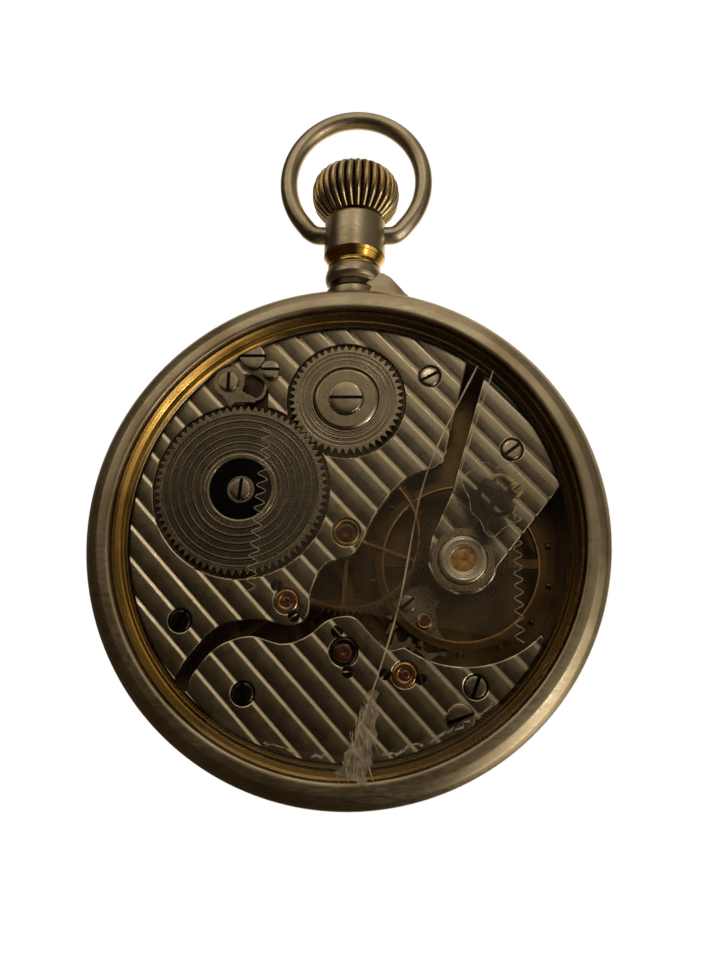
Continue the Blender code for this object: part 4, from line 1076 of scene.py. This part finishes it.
# These deep brass parts take the painted shade.
repaint(BRASS_PAINTED_SHADE, "mainspring_barrel", "barrel_cover", "third_wheel", "fourth_wheel")
repaint(BRASS, "minute_wheel", "hour_wheel")
repaint(BLUED, "mainspring")


# ---------------------------------------------------------------- floor, light and camera

WARM = (1.0, 0.81, 0.55)
ROOM = (0.026, 0.0165, 0.0075)
# Soft glows that the metal mirrors: a direction, then brightness along the cosine of the angle to it
GLOWS = (
    ((0.35, -0.50, 0.80), ((0.0, 0.0), (0.54, 0.004), (0.61, 0.05), (0.68, 0.15), (0.75, 0.42), (0.83, 0.60),
                           (0.95, 0.7))),
    ((-0.55, -0.66, 0.51), ((0.0, 0.0), (0.92, 0.0), (0.955, 0.3), (1.0, 0.9))),
    ((0.72, -0.60, -0.35), ((0.0, 0.0), (0.77, 0.0), (0.85, 0.12), (0.92, 0.36), (1.0, 0.65))),
    ((0.75, -0.05, -0.65), ((0.0, 0.0), (0.88, 0.0), (0.94, 1.0), (1.0, 2.0))),
    ((0.15, 0.95, 0.25), ((0.0, 0.0), (0.45, 0.03), (0.75, 0.5), (0.92, 1.6))))


def studio():
    """A white floor and background; the watch mirrors a dim warm room with the soft glows listed above."""
    size, depth = 0.6, -0.22
    mesh = built([(-size, -size, depth), (size, -size, depth), (size, size, depth), (-size, size, depth)],
                 [(0, 1, 2, 3)])
    paint = bpy.data.materials.new("floor_white")
    paint.use_nodes = True
    shader = paint.node_tree.nodes["Principled BSDF"]
    shader.inputs["Base Color"].default_value = (0.9, 0.9, 0.9, 1)
    shader.inputs["Roughness"].default_value = 0.9
    shader.inputs["Emission Color"].default_value = (1, 1, 1, 1)
    shader.inputs["Emission Strength"].default_value = 0.95
    mesh.materials.append(paint)
    floor = placed("floor", mesh)
    floor.visible_glossy = False
    floor.visible_diffuse = False

    world = bpy.data.worlds.new("studio")
    bpy.context.scene.world = world
    world.use_nodes = True
    tree = world.node_tree
    tree.nodes.clear()

    def node(kind, inputs=None, **settings):
        return add_node(tree, kind, inputs, **settings)

    direction = node("TexCoord").outputs["Generated"]
    glows = []
    for towards, stops in GLOWS:
        facing = node("VectorMath", {0: direction, 1: Vector(towards).normalized()}, operation="DOT_PRODUCT")
        warm = [(at, tuple(level * share for share in WARM)) for at, level in stops]
        glows.append(add_ramp(tree, facing.outputs["Value"], warm))
    aside = node("SeparateXYZ", {0: direction}).outputs["X"]
    shut = node("MapRange", {"Value": aside, "From Min": 0.28, "From Max": 0.5, "To Min": 1.0,
                             "To Max": 0.2}).outputs[0]
    total = node("VectorMath", {0: glows[0], "Scale": shut}, operation="SCALE").outputs[0]
    total = node("VectorMath", {0: total, 1: ROOM}, operation="ADD").outputs[0]
    for glow in glows[1:]:
        total = node("VectorMath", {0: total, 1: glow}, operation="ADD").outputs[0]
    lit = node("Background", {"Color": total})
    seen = node("Background", {"Color": (1, 1, 1, 1)})
    ray = node("LightPath").outputs["Is Camera Ray"]
    chosen = node("MixShader", {0: ray, 1: lit.outputs[0], 2: seen.outputs[0]})
    node("OutputWorld", {"Surface": chosen.outputs[0]})

    aim = Vector((0, 0, CENTRE_Z))
    for name, place, size, glow in (
            ("low", (0.29, -0.24, -0.21), 0.075, 9.0),
            ("spark", (0.05, -0.38, 0.20), 0.05, 3.0)):
        lamp = bpy.data.lights.new(name, "AREA")
        lamp.shape = "SQUARE"
        lamp.size = size
        lamp.energy = glow * math.pi * size * size
        lamp.color = (1.0, 0.90, 0.72)
        item = placed(name, lamp)
        item.location = place
        item.rotation_euler = (aim - Vector(place)).to_track_quat("-Z", "Y").to_euler()
        item.visible_camera = False


# The camera, fitted to the photo: its place in mm from the case centre, turns in degrees, lens in mm
CAMERA_AT = (4.28, -77.74, -12.51)
CAMERA_HEADING = 2.38
CAMERA_TILT = 13.45
CAMERA_ROLL = 1.045
CAMERA_LENS = 29.246


def camera():
    """A close camera a little below the watch, turned up at its glass back."""
    lens = bpy.data.cameras.new("camera")
    lens.sensor_width = 36
    lens.lens = CAMERA_LENS
    lens.clip_start = 0.001
    lens.clip_end = 10
    item = placed("camera", lens)
    turn = Matrix.Identity(4)
    for angle, axis in ((CAMERA_HEADING, "Z"), (90 + CAMERA_TILT, "X"), (CAMERA_ROLL, "Z")):
        turn = turn @ Matrix.Rotation(math.radians(angle), 4, axis)
    item.matrix_world = STEM @ Matrix.Translation(Vector(CAMERA_AT) * MM) @ turn
    bpy.context.scene.camera = item


studio()
camera()
bpy.context.scene.view_settings.view_transform = "Standard"
